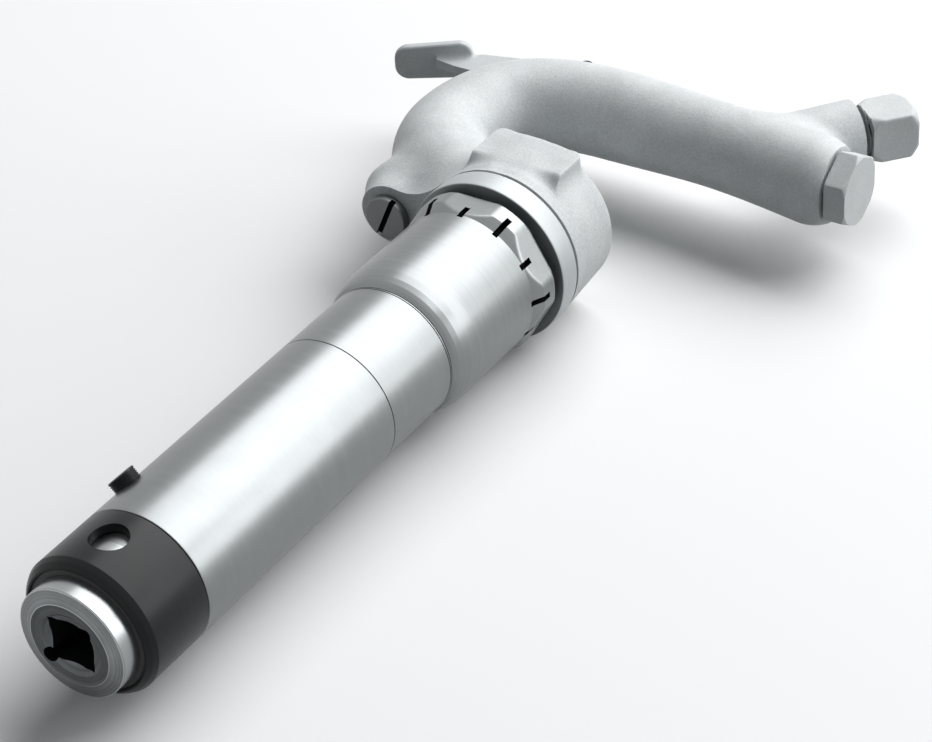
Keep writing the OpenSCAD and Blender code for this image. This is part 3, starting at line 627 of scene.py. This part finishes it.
def tube_distance(p):
    """Distance to the bent tube of gooseneck and grip."""
    out = np.empty(p.shape[:-1])
    flat = p.reshape(-1, 3)
    result = out.reshape(-1)
    portion = 20000  # points at a time, to save memory
    for start in range(0, len(flat), portion):
        q = flat[start:start + portion]
        gap = ((q[:, None, :2] - centre_line) ** 2).sum(-1)
        at = np.clip(gap.argmin(1), 1, len(centre_line) - 2)
        best = None
        for k in (at - 1, at):
            a, b = centre_line[k], centre_line[k + 1]
            axis = b - a
            t = np.clip(((q[:, :2] - a) * axis).sum(-1) / (axis * axis).sum(-1), 0, 1)
            c = a + t[:, None] * axis
            r = grip_radius[k] + t * (grip_radius[k + 1] - grip_radius[k])
            off = np.sqrt(((q[:, :2] - c) ** 2).sum(-1) + q[:, 2] ** 2) - r
            best = off if best is None else np.minimum(best, off)
        result[start:start + portion] = best
    return out


def at_inlet(s):
    """Point on the inlet's axis, counted outwards from the back of its square."""
    return INLET_POINT + s * INLET_DIR


def head_distance(p):
    """The head with its raised flat, and the core that carries the register band."""
    head = turned_distance(p, [(0, HEAD_FRONT + 1), (24.6, HEAD_FRONT + 1),
                               (24.7, REGISTER_END), (HEAD_REAR_R - 1, HEAD_REAR - 1),
                               (0, HEAD_REAR - 1)], 1)
    core = turned_distance(p, [(0, HEAD_FRONT + 0.5), (REGISTER_R - 0.45, HEAD_FRONT + 0.5),
                               (REGISTER_R - 0.45, REGISTER_END - 0.3), (0, REGISTER_END - 0.3)])
    x, y, z = p[..., 0], p[..., 1], p[..., 2]
    front = HEAD_REAR - 13.3
    back = HEAD_REAR + 0.8 - 0.087 * x
    corner = 2.8
    pad = meet(np.stack([np.abs(x - 0.3) - 12.2, np.abs(y - (front - RAMP + back) / 2)
                         - (back - front + RAMP) / 2 + corner], -1)) - corner
    rise = ease(np.clip((y - front + RAMP) / RAMP, 0, 1))
    round_top = np.sqrt(24.4 ** 2 - np.minimum(np.abs(x), 16) ** 2)
    pad = cut_out(pad, round_top + (FLAT_H - round_top) * rise - z, 0.9)
    pad = np.maximum(pad, 5 - z)
    level = FLAT_H + 0.9 * np.clip((HEAD_REAR - 17 - y) / 5, 0, 1)
    head = np.maximum(head, z - level)
    return blend_in(head, pad, 2.4), core


def ear_distance(p):
    """The ear that holds the passage plug, its swell behind and the web to the head."""
    swell = (EAR_X - 5.2, EAR_FRONT + 11.5, 0)
    swell_r = 9.6
    web_half = 8.8
    ear = rod(p, (EAR_X, EAR_FRONT - 2, 0), (EAR_X, EAR_FRONT + 10, 0), EAR_R)
    neck = rod(p, (EAR_X, EAR_FRONT + 1, 0), swell, EAR_R, swell_r)
    rear = rod(p, swell, (swell[0] + 4, swell[1] + 14, 0), swell_r, 7)
    joint = length(p - np.array(swell)) - swell_r
    web = box_distance(p, (EAR_X, EAR_FRONT - 2, -web_half), (-14, EAR_FRONT + 9, web_half), 2)
    return blend_in(blend_in(ear, web, 3), np.minimum(np.minimum(neck, joint), rear), 3)


def handle_distance(p):
    """The casting with its bores and the slot of the lever."""
    head, core = head_distance(p)
    tube = np.maximum(tube_distance(p), p[..., 0] - GRIP_END_X)
    body = blend_in(head, tube, 5.5)
    body = blend_in(body, ear_distance(p), 7)
    branch = rod(p, at_inlet(-40), at_inlet(-NECK_LEN), 9.9, 11.5)
    branch = cut_out(branch, -rod(p, at_inlet(-60), at_inlet(-NECK_LEN), 11.6), 2)
    body = blend_in(body, branch, 5.5)
    body = np.maximum(body, EAR_FRONT - p[..., 1])
    body = np.minimum(body, core)
    slot_half = 1.9
    slot = np.maximum(outline_distance(p[..., 0], p[..., 1], LEVER_SLOT),
                      np.abs(p[..., 2]) - slot_half)
    body = cut_out(body, slot, 0.8)
    # Barrel thread, chamber, passage plug, three steps of the throttle bore, valve stem,
    # inlet thread, inlet passage and lever pin
    holes = [
        rod(p, (0, HEAD_FRONT - 5, 0), (0, HEAD_FRONT + 20.7, 0), HEAD_BORE_R),
        rod(p, (0, HEAD_FRONT + 19, 0), (0, HEAD_FRONT + 25.7, 0), 12),
        rod(p, (EAR_X, EAR_FRONT - 5, 0), (EAR_X, EAR_FRONT + 11, 0), 5.05),
        rod(p, (41, BORE_Y, 0), (GRIP_END_X + 5, BORE_Y, 0), CAP_BORE_R),
        rod(p, (20, BORE_Y, 0), (42, BORE_Y, 0), 6.4),
        rod(p, (4, BORE_Y, 0), (21, BORE_Y, 0), 5.2),
        rod(p, (PIVOT[0] + 1, BORE_Y, 0), (5, BORE_Y, 0), 2.1),
        rod(p, at_inlet(-NECK_LEN - 14), at_inlet(5), 8.2),
        rod(p, at_inlet(-40), at_inlet(-NECK_LEN - 13), 6),
        rod(p, (PIVOT[0], PIVOT[1], -20), (PIVOT[0], PIVOT[1], 20), 2.03)]
    for hole in holes:
        body = np.maximum(body, -hole)
    return body


LEVER_LEN = 65.0


def at_pivot(x, y):
    """Point beside the lever's pin, in shares of the lever's length."""
    return (PIVOT[0] + x * LEVER_LEN, PIVOT[1] + y * LEVER_LEN)


tail_x = PIVOT[0] - 2.6
tail_y = BORE_Y - 3
LEVER_SLOT = [at_pivot(-0.615, -0.277), at_pivot(-0.323, -0.188), at_pivot(-0.123, -0.145),
              (tail_x, PIVOT[1] - 9.4), (tail_x, tail_y), (tail_x + 10.6, tail_y),
              at_pivot(0.123, -0.062), at_pivot(0.169, 0.138), at_pivot(-0.615, 0.215)]

handle = contour("handle_casting", handle_distance, handle_low, handle_high,
                 0.8, casting)
BORE_WALL_R = HEAD_BORE_R + 0.17  # faces within this radius line the bore of the head
# The bore in the head gets painted shade.
paint(handle, painted_shade_front, lambda c, n: (c[:, 1] < HEAD_FRONT + 20) & (radius_of(c) < BORE_WALL_R))
BAND_IN_R = 24.9
register = lathe("machined_register", [
    (HEAD_BORE_R, HEAD_FRONT), (REGISTER_R, HEAD_FRONT, 0.4), (REGISTER_R, REGISTER_END, 0.5),
    (BAND_IN_R, REGISTER_END), (BAND_IN_R, HEAD_FRONT + 1), (HEAD_BORE_R, HEAD_FRONT + 1)],
    machined)
# The band's front face and its bore get painted shade.
paint(register, painted_shade_front,
      lambda c, n: (c[:, 1] < HEAD_FRONT + 0.1) | (radius_of(c) < BORE_WALL_R))
for piece in (handle, register):
    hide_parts("handle")
    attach(piece, "frame")


# Barrel and front end

def flare_profile():
    """Corners of the barrel's flare, from (share of its length, share of its rise)."""
    rise = REAR_R - FRONT_R
    stops = [(0.075, 0.3), (0.2, 0.54), (0.37, 0.74), (0.6, 0.89), (0.8, 0.96)]
    return [(FRONT_R + rise * up, FLARE_Y + FLARE_LEN * at, 2) for at, up in stops]


def groove(y, depth, width, radius):
    """Fine V groove round a turned body."""
    return [(radius, y - width), (radius - depth, y - 0.3 * width),
            (radius - depth, y + 0.3 * width), (radius, y + width)]


SPIGOT_Y = barrel_low[1]
BORE_R = FRONT_R - 6.15
CHEST_R = BORE_R + 2.85
SCREW_R = CHEST_R + 2.2
BARREL_END = HEAD_FRONT + 18.2
BORE_END = BARREL_END - 40.2
NECK_R = REAR_R - 1.64
NECK_START = COLLAR_Y + 1
NECK_SHOWN_END = COLLAR_Y + 8
SPIGOT_IN_R = 15.1
SPIGOT_R = 17.62
SPIGOT_END = 54.8

barrel = lathe("barrel_tube", [
    (SPIGOT_IN_R, SPIGOT_Y), (SPIGOT_R, SPIGOT_Y), (SPIGOT_R, SLEEVE_REAR + 0.2),
    (FRONT_R, SLEEVE_REAR + 0.2, 0.25),
    *groove(GROOVES_Y[0], 0.16, 0.22, FRONT_R),
    *groove(GROOVES_Y[1], 0.14, 0.2, FRONT_R),
    *groove(GROOVES_Y[2], 0.2, 0.22, FRONT_R),
    *flare_profile(),
    (REAR_R, FLARE_Y + FLARE_LEN, 1.2), (REAR_R, NECK_START), (NECK_R, NECK_START),
    (NECK_R, NECK_SHOWN_END), (NECK_R, HEAD_FRONT - 0.2), (SCREW_R, HEAD_FRONT - 0.2),
    (SCREW_R, BARREL_END, 0.5), (CHEST_R, BARREL_END), (CHEST_R, BORE_END),
    (BORE_R, BORE_END), (BORE_R, SPIGOT_END), (SPIGOT_IN_R, SPIGOT_END)], bright)


def hexagon_distance(across, up, half_width):
    """Distance to a hexagon with corners on the first axis."""
    a = np.abs(across)
    b = np.abs(up)
    return np.maximum(b, a * math.cos(math.pi / 6) + b * 0.5) - half_width


SLOT_W = 1.8
SLOT_FLOOR = REAR_R - 2.04
SLOT_START = COLLAR_Y - 1.2
TWELFTH = math.pi / 6


def slots_at(p):
    """Distance sideways from the nearest slot's walls, and its end, for both kinds of slot."""
    angle = np.arctan2(p[..., 2], p[..., 0])
    for turn, slot_len in ((0, 7.3), (TWELFTH, 4.9)):
        local = (angle - turn + TWELFTH) % (2 * TWELFTH) - TWELFTH
        yield np.abs(radius_of(p) * np.sin(local)) - SLOT_W / 2, SLOT_START + slot_len


def collar_distance(p):
    """Faceted collar with its slots: long ones at the corners, short ones on the flats."""
    rear = COLLAR_Y + COLLAR_LEN
    prism = hexagon_distance(p[..., 0], p[..., 2], COLLAR_AF / 2)
    turned = turned_distance(p, [
        (NECK_R - 1, COLLAR_Y - 0.6), (REAR_R - 0.25, COLLAR_Y - 0.6),
        (COLLAR_R, COLLAR_Y + 3.2), (COLLAR_R, rear - 0.6), (COLLAR_R - 0.5, rear),
        (NECK_R - 1, rear)])
    body = cut_out(prism, -turned, 0.4)
    for across, end in slots_at(p):
        slot = np.maximum(np.maximum(across, SLOT_FLOOR - radius_of(p)), p[..., 1] - end)
        body = np.maximum(body, -slot)
    return body


reach = COLLAR_R + 1
collar = contour("barrel_collar", collar_distance, (-reach, COLLAR_Y - 1, -reach),
                 (reach, COLLAR_Y + COLLAR_LEN + 1, reach), 0.4, bright, 25)

# The slots start in the barrel, in front of the collar.
for k in range(12):
    slot = block("slot", (SLOT_FLOOR, SLOT_START, -SLOT_W / 2), (30, COLLAR_Y + 1.2, SLOT_W / 2))
    place(slot, Matrix.Rotation(-k * TWELFTH, 4, "Y"))
    carve(barrel, slot)


def in_slot(c, n):
    """Walls and floors of the slots that are cut along the collar's front edge."""
    radius = radius_of(c)
    outward = (n[:, 0] * c[:, 0] + n[:, 2] * c[:, 2]) / radius
    found = np.zeros(len(c), bool)
    for across, end in slots_at(c):
        floor = (across < 0.03) & (radius < SLOT_FLOOR + 0.35)
        wall = (across < 0.2) & (outward < 0.5)
        found |= (floor | wall) & (c[:, 1] < end + 0.15)
    return found & (c[:, 1] > SLOT_START - 0.05) & (radius > SLOT_FLOOR - 0.3)


def under_collar(c, n):
    """The part of the barrel's neck that shows only through the slots."""
    return (c[:, 1] > NECK_START - 0.05) & (c[:, 1] < NECK_SHOWN_END - 0.1) & (
        radius_of(c) > SLOT_FLOOR - 0.1)


paint(barrel, shadow, under_collar)
for piece in (barrel, collar):
    paint(piece, shadow, in_slot)
    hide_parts("barrel")
    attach(piece, "frame")

SLEEVE_IN_R = 17.7
SLEEVE_LIP_R = 16.3
SLEEVE_THREAD_R = 17.92
SLEEVE_STEP_Y = 20.2
NOSE_STEP_Y = 12
sleeve = lathe("sleeve", [
    (SLEEVE_IN_R, SLEEVE_FRONT + 0.35, 0.1), (18.0, SLEEVE_FRONT, 0.15),
    (18.5, SLEEVE_FRONT, 0.4), (19.75, SLEEVE_FRONT + 1.25, 2),
    (FRONT_R, SLEEVE_FRONT + 2.7, 0.3), (FRONT_R, SLEEVE_REAR, 0.35),
    (SLEEVE_THREAD_R, SLEEVE_REAR), (SLEEVE_THREAD_R, SLEEVE_STEP_Y),
    (SLEEVE_IN_R, SLEEVE_STEP_Y), (SLEEVE_IN_R, NOSE_STEP_Y), (SLEEVE_LIP_R, NOSE_STEP_Y),
    (SLEEVE_LIP_R, SLEEVE_FRONT + 2.6), (SLEEVE_IN_R, SLEEVE_FRONT + 2.6)], black)
SPANNER_R = 5.3
SPANNER_Y = 18.8
for side in (1, -1):
    hole = lathe("hole", [(0, 0), (SPANNER_R, 0), (SPANNER_R, 12), (0, 12)], segments=96)
    place(hole, axis_frame((0, SPANNER_Y, side * 14.9), (0, 0, side)))
    carve(sleeve, hole)
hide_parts("retainer_sleeve")
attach(sleeve, "frame")

NOSE_R = 16.15
NOSE_END = 12.2
FLANGE_R = 17.6
STEM_R = 15
STEM_END = 50
SOCKET = 6.45
RELIEF_R = 2.1
RELIEF_AT = (-7.2, 0, -5.9)
CUP_R = 12.05
nozzle = lathe("nozzle", [
    (0, 0), (8.3, -0.05, 0.2), (9.4, -0.55, 1), (11.2, -0.72, 1.5), (12.1, -1.0, 0.35),
    (12.7, -0.75, 0.5), (14.6, -0.25, 2), (NOSE_R, 0, 0.3), (NOSE_R, NOSE_END),
    (FLANGE_R, NOSE_END, 0.3), (FLANGE_R, SPIGOT_Y), (STEM_R, SPIGOT_Y),
    (STEM_R, STEM_END, 0.6), (0, STEM_END)], nozzle_steel)
socket = block("socket", (-SOCKET, -4, -SOCKET), (SOCKET, STEM_END + 2, SOCKET))
lead = lathe("lead", [(0, -3), (12.2, -3), (6.2, 0.6), (0, 0.6)], segments=90)
relief = lathe("relief", [(0, -4), (RELIEF_R, -4), (RELIEF_R, 9), (0, 9)], segments=64)
place(relief, Matrix.Translation(Vector(RELIEF_AT) * MM))
carve(nozzle, relief, socket, lead)
tidy(nozzle)
paint(nozzle, nozzle_side, lambda c, n: (c[:, 1] > 0.35) & (radius_of(c) > 14.9))
paint(nozzle, cup_steel, lambda c, n: (radius_of(c) < CUP_R) & (c[:, 1] < 3))
paint(nozzle, shadow, lambda c, n: (radius_of(c) < CUP_R - 0.05) & (c[:, 1] > 0.65))
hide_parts("nozzle_bushing")
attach(nozzle, "frame")

# The lock plug has coarse ribs round its head.
PLUG_R = 4.05
PLUG_TIP = 13.6
PLUG_TOP = FRONT_R + 3
PLUG_Y = 44
PLUG_ANGLE = math.radians(135)
RIB_PITCH = 0.62
RIB_DEPTH = 0.22
ribs = []
for k in range(5):
    y = FRONT_R - 0.6 + k * RIB_PITCH
    ribs += [(PLUG_R, y, 0.08), (PLUG_R - RIB_DEPTH, y + 0.16, 0.08),
             (PLUG_R - RIB_DEPTH, y + 0.31, 0.08), (PLUG_R, y + 0.47, 0.08)]
plug = lathe("lock_plug_body", [(0, PLUG_TIP), (PLUG_R, PLUG_TIP), *ribs,
                                (PLUG_R, PLUG_TOP, 0.5), (0, PLUG_TOP)], black, 96)
place(plug, axis_frame((0, PLUG_Y, 0), (math.cos(PLUG_ANGLE), 0, math.sin(PLUG_ANGLE))))
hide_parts("lock_plug")
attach(plug, "frame")

# The passage plug is a cheese-head screw.
SCREW_FRONT = plug_low[1]
SCREW_HEAD_R = 7
SCREW_HEAD_LEN = 2.4
SCREW_BODY_R = 5
SCREW_LEN = 12
SCREW_SLOT_DEPTH = 1.6
SCREW_TURN = math.radians(24)
screw = lathe("passage_screw", [
    (0, 0), (SCREW_HEAD_R, 0, 0.5), (SCREW_HEAD_R, SCREW_HEAD_LEN),
    (SCREW_BODY_R, SCREW_HEAD_LEN), (SCREW_BODY_R, SCREW_LEN), (0, SCREW_LEN)],
    screw_steel, 128)
screw_frame = axis_frame((EAR_X, SCREW_FRONT, 0), (0, 1, 0))
place(screw, screw_frame)
slot = block("slot", (-0.85, -1, -SCREW_HEAD_R - 1), (0.85, SCREW_SLOT_DEPTH, SCREW_HEAD_R + 1))
place(slot, screw_frame @ Matrix.Rotation(SCREW_TURN, 4, "Y"))
carve(screw, slot)


def in_screw_slot(c, n):
    """Walls and floor of the slot in the screw's head."""
    depth = c[:, 1] - SCREW_FRONT
    off = np.hypot(c[:, 0] - EAR_X, c[:, 2])
    wall_or_floor = (np.abs(n[:, 1]) < 0.3) | (depth > SCREW_SLOT_DEPTH - 0.1)
    return (depth > 0.02) & (depth < 1.9) & (off < SCREW_HEAD_R - 0.1) & wall_or_floor


paint(screw, shadow, in_screw_slot)
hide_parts("passage_plug")
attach(screw, "frame")


# Lever

PLATE_LEN = 25.5
PLATE_TURN = math.radians(32.6)
LEVER_HALF = 1.5
LEVER_ARM = [at_pivot(-0.808, -0.098), at_pivot(-0.7, -0.114), at_pivot(-0.554, -0.115),
             at_pivot(-0.308, -0.111), at_pivot(-0.123, -0.092), at_pivot(-0.025, -0.083),
             (PIVOT[0], BORE_Y), (PIVOT[0] + 3.2, BORE_Y), (PIVOT[0] + 3.2, BORE_Y + 3.6),
             at_pivot(0.092, -0.077), at_pivot(0.083, 0.018), at_pivot(0.023, 0.071),
             at_pivot(-0.092, 0.083), at_pivot(-0.277, 0.105), at_pivot(-0.446, 0.097),
             at_pivot(-0.631, 0.049), at_pivot(-0.677, 0.015)]


def lever_distance(p):
    """Arm with its rounded nose, and the thumb plate, which widens from tip to base."""
    sheet = np.abs(p[..., 2]) - LEVER_HALF
    arm = np.maximum(outline_distance(p[..., 0], p[..., 1], LEVER_ARM), sheet)
    nose_r = 1.6
    nose = np.maximum(length(p[..., :2] - np.array([PIVOT[0] + nose_r, BORE_Y])) - nose_r, sheet)
    arm = np.minimum(arm, nose)
    q = p[..., :2] - np.array(at_pivot(-0.994, -0.2))
    u = q[..., 0] * math.cos(PLATE_TURN) + q[..., 1] * math.sin(PLATE_TURN)
    v = -q[..., 0] * math.sin(PLATE_TURN) + q[..., 1] * math.cos(PLATE_TURN)
    edge, corner = 0.9, 4.6
    half = PLATE_LEN / 2
    wide = 5.8 + 0.7 * np.clip(u / PLATE_LEN, 0, 1)
    outline = meet(np.stack([np.abs(u - half) - half, np.abs(p[..., 2]) - wide], -1)
                   + corner) - corner
    plate = meet(np.stack([outline + edge, np.abs(v - LEVER_HALF) - LEVER_HALF + edge], -1)) - edge
    body = blend_in(arm, plate, 1.8)
    return np.maximum(body, -rod(p, (PIVOT[0], PIVOT[1], -5), (PIVOT[0], PIVOT[1], 5), 2.06))


lever = contour("thumb_lever", lever_distance, lever_low, lever_high,
                0.4, cast_lever)
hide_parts("throttle_lever")
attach(lever, "lever")


# Throttle cap and inlet

def cap_distance(p):
    """Hexagon head with a chamfered end, and the hollow shank in the grip."""
    q = p - np.array([0, BORE_Y, 0])
    face = GRIP_END_X + 0.9
    end = cap_high[0]
    prism = hexagon_distance(q[..., 2], q[..., 1], CAP_HALF)
    along = q[..., 0]
    off = np.sqrt(q[..., 1] ** 2 + q[..., 2] ** 2)
    corner = CAP_HALF / math.cos(math.pi / 6)
    turned = outline_distance(off, along, [
        (0.7 - corner, face), (corner - 0.7, face), (corner, face + 0.5), (corner, end - 1),
        (CAP_HALF + 0.2, end), (-CAP_HALF - 0.2, end), (-corner, end - 1), (-corner, face + 0.5)])
    head = cut_out(prism, -turned, 0.35)
    shank = np.maximum(off - CAP_BORE_R + 0.02, np.maximum(along - face - 1, cap_low[0] - along))
    body = np.minimum(head, shank)
    return np.maximum(body, -rod(q, (cap_low[0] - 1, 0, 0), (GRIP_END_X - 7.5, 0, 0), 3.3))


cap = contour("throttle_cap_head", cap_distance, cap_low, cap_high, 0.35,
              cast_steel, 25)
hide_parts("throttle_cap")
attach(cap, "frame")


def inlet_distance(p):
    """Square fitting with a threaded neck and a bore for the hose."""
    q = p - INLET_POINT
    along = q @ INLET_DIR
    side = q @ np.array([-INLET_DIR[1], INLET_DIR[0], 0])
    z = q[..., 2]
    edge_r = 0.7
    prism = meet(np.stack([np.abs(side), np.abs(z)], -1) - (SQUARE_AF / 2 - edge_r)) - edge_r
    off = np.sqrt(side ** 2 + z ** 2)
    corner = SQUARE_AF / math.sqrt(2)
    front = SQUARE_LEN + 2.6
    turned = outline_distance(off, along, [(-8.4, -4), (8.4, -4), (corner, 0.2),
                                           (corner, SQUARE_LEN), (SQUARE_AF / 2 + 0.5, front),
                                           (-SQUARE_AF / 2 - 0.5, front), (-corner, SQUARE_LEN),
                                           (-corner, 0.2)])
    body = cut_out(prism, -turned, 0.8)
    pitch = 1.3
    phase = (along / pitch + np.arctan2(z, side) / (2 * math.pi)) % 1
    thread = 8.18 - 0.55 * (1 - np.abs(2 * phase - 1))
    neck = np.maximum(off - thread, np.maximum(along + 3.6, -NECK_LEN - 13 - along))
    body = np.minimum(body, neck)
    bore = np.maximum(off - HOSE_BORE_R, np.maximum(-2 - along, along - 20))
    way = np.maximum(off - 4.8, np.maximum(-30 - along, along))
    lip = np.maximum(off - HOSE_BORE_R - (along - front + 0.9), -along)
    return np.maximum(body, -np.minimum(np.minimum(bore, way), lip))


inlet = contour("inlet_square", inlet_distance, inlet_low, inlet_high, 0.35,
                cast_steel, 30)


def in_thread(c, n):
    """The neck of the inlet and the inside of its bore."""
    q = c - INLET_POINT
    along = q @ INLET_DIR
    return (along < -3.2) | (length(q - along[:, None] * INLET_DIR) < HOSE_BORE_R + 0.3)


# The inlet's neck gets darker steel with painted shade, and its bore gets painted shade.
paint(inlet, thread_and_shade_steel, in_thread)
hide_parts("inlet_bushing")
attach(inlet, "frame")


# Stage, camera and light

IMAGE_WIDTH = 932
FOCAL_PIXELS = 2899.96
SENSOR = 36


def add_camera():
    """Camera as solved from the photograph."""
    place_at = Vector((390.91, -396.94, 457.43)) * MM
    right = Vector((0.84599, 0.53075, -0.05105))
    up = Vector((-0.2696, 0.50839, 0.81784))
    back = Vector((0.46002, -0.67812, 0.57318))
    data = bpy.data.cameras.new("camera")
    data.sensor_width = SENSOR
    data.lens = FOCAL_PIXELS / IMAGE_WIDTH * SENSOR
    data.clip_start = 0.01
    camera = bpy.data.objects.new("camera", data)
    axes = Matrix((right, up, back)).transposed().to_4x4()
    camera.matrix_world = Matrix.Translation(place_at) @ axes
    bpy.context.scene.collection.objects.link(camera)
    bpy.context.scene.camera = camera


def seen_rays(tree):
    """One for rays from the camera, from gloss and through glass, else zero."""
    path = node(tree, "ShaderNodeLightPath")
    seen = maths(tree, "MAXIMUM", path.outputs["Is Camera Ray"], path.outputs["Is Glossy Ray"])
    return maths(tree, "MAXIMUM", seen, path.outputs["Is Transmission Ray"])


def add_floor():
    """Plain floor just under the object: pale to the eye and in gloss, grey as a light source."""
    low = min(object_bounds()[0][2], -0.0255) - 0.0004
    half = 6
    corners = [(-half, -half, low), (half, -half, low), (half, half, low), (-half, half, low)]
    mesh = bpy.data.meshes.new("floor")
    mesh.from_pydata(corners, [], [(0, 1, 2, 3)])
    floor = bpy.data.objects.new("floor", mesh)
    bpy.context.scene.collection.objects.link(floor)
    material, tree, shader = new_material("floor")
    tones = [(0, (0.28, 0.285, 0.287)), (1, (0.94, 0.945, 0.947))]
    tree.links.new(ramp(tree, seen_rays(tree), tones), shader.inputs["Base Color"])
    shader.inputs["Roughness"].default_value = 0.9
    shader.inputs["Specular IOR Level"].default_value = 0.1
    mesh.materials.append(material)


def add_area(name, centre, target, width, height, power):
    """Rectangular lamp that faces the target, in metres and watts."""
    data = bpy.data.lights.new(name, "AREA")
    data.shape = "RECTANGLE"
    data.size = width
    data.size_y = height
    data.energy = power
    lamp = bpy.data.objects.new(name, data)
    lamp.location = centre
    aim = Vector(target) - Vector(centre)
    lamp.rotation_euler = aim.to_track_quat("-Z", "Y").to_euler()
    bpy.context.scene.collection.objects.link(lamp)


def set_world(strength):
    """Weak even light all round, which looks white."""
    world = bpy.data.worlds.new("studio")
    bpy.context.scene.world = world
    world.use_nodes = True
    tree = world.node_tree
    tree.nodes.clear()
    soft = node(tree, "ShaderNodeBackground", Color=(0.93, 0.96, 1, 1), Strength=strength)
    white = node(tree, "ShaderNodeBackground", Color=(1, 1, 1, 1), Strength=1)
    mix = node(tree, "ShaderNodeMixShader")
    out = node(tree, "ShaderNodeOutputWorld")
    tree.links.new(seen_rays(tree), mix.inputs[0])
    tree.links.new(soft.outputs[0], mix.inputs[1])
    tree.links.new(white.outputs[0], mix.inputs[2])
    tree.links.new(mix.outputs[0], out.inputs[0])


add_camera()
add_floor()
CENTRE = (0, 0.17, 0)
add_area("key_light", (0.44, 1.6, 1.7), CENTRE, 3.0, 1.8, 74)
add_area("right_light", (1.5, 1.1, 0.5), CENTRE, 0.8, 0.8, 9)
set_world(0.13)
bpy.context.scene.view_settings.view_transform = "Standard"
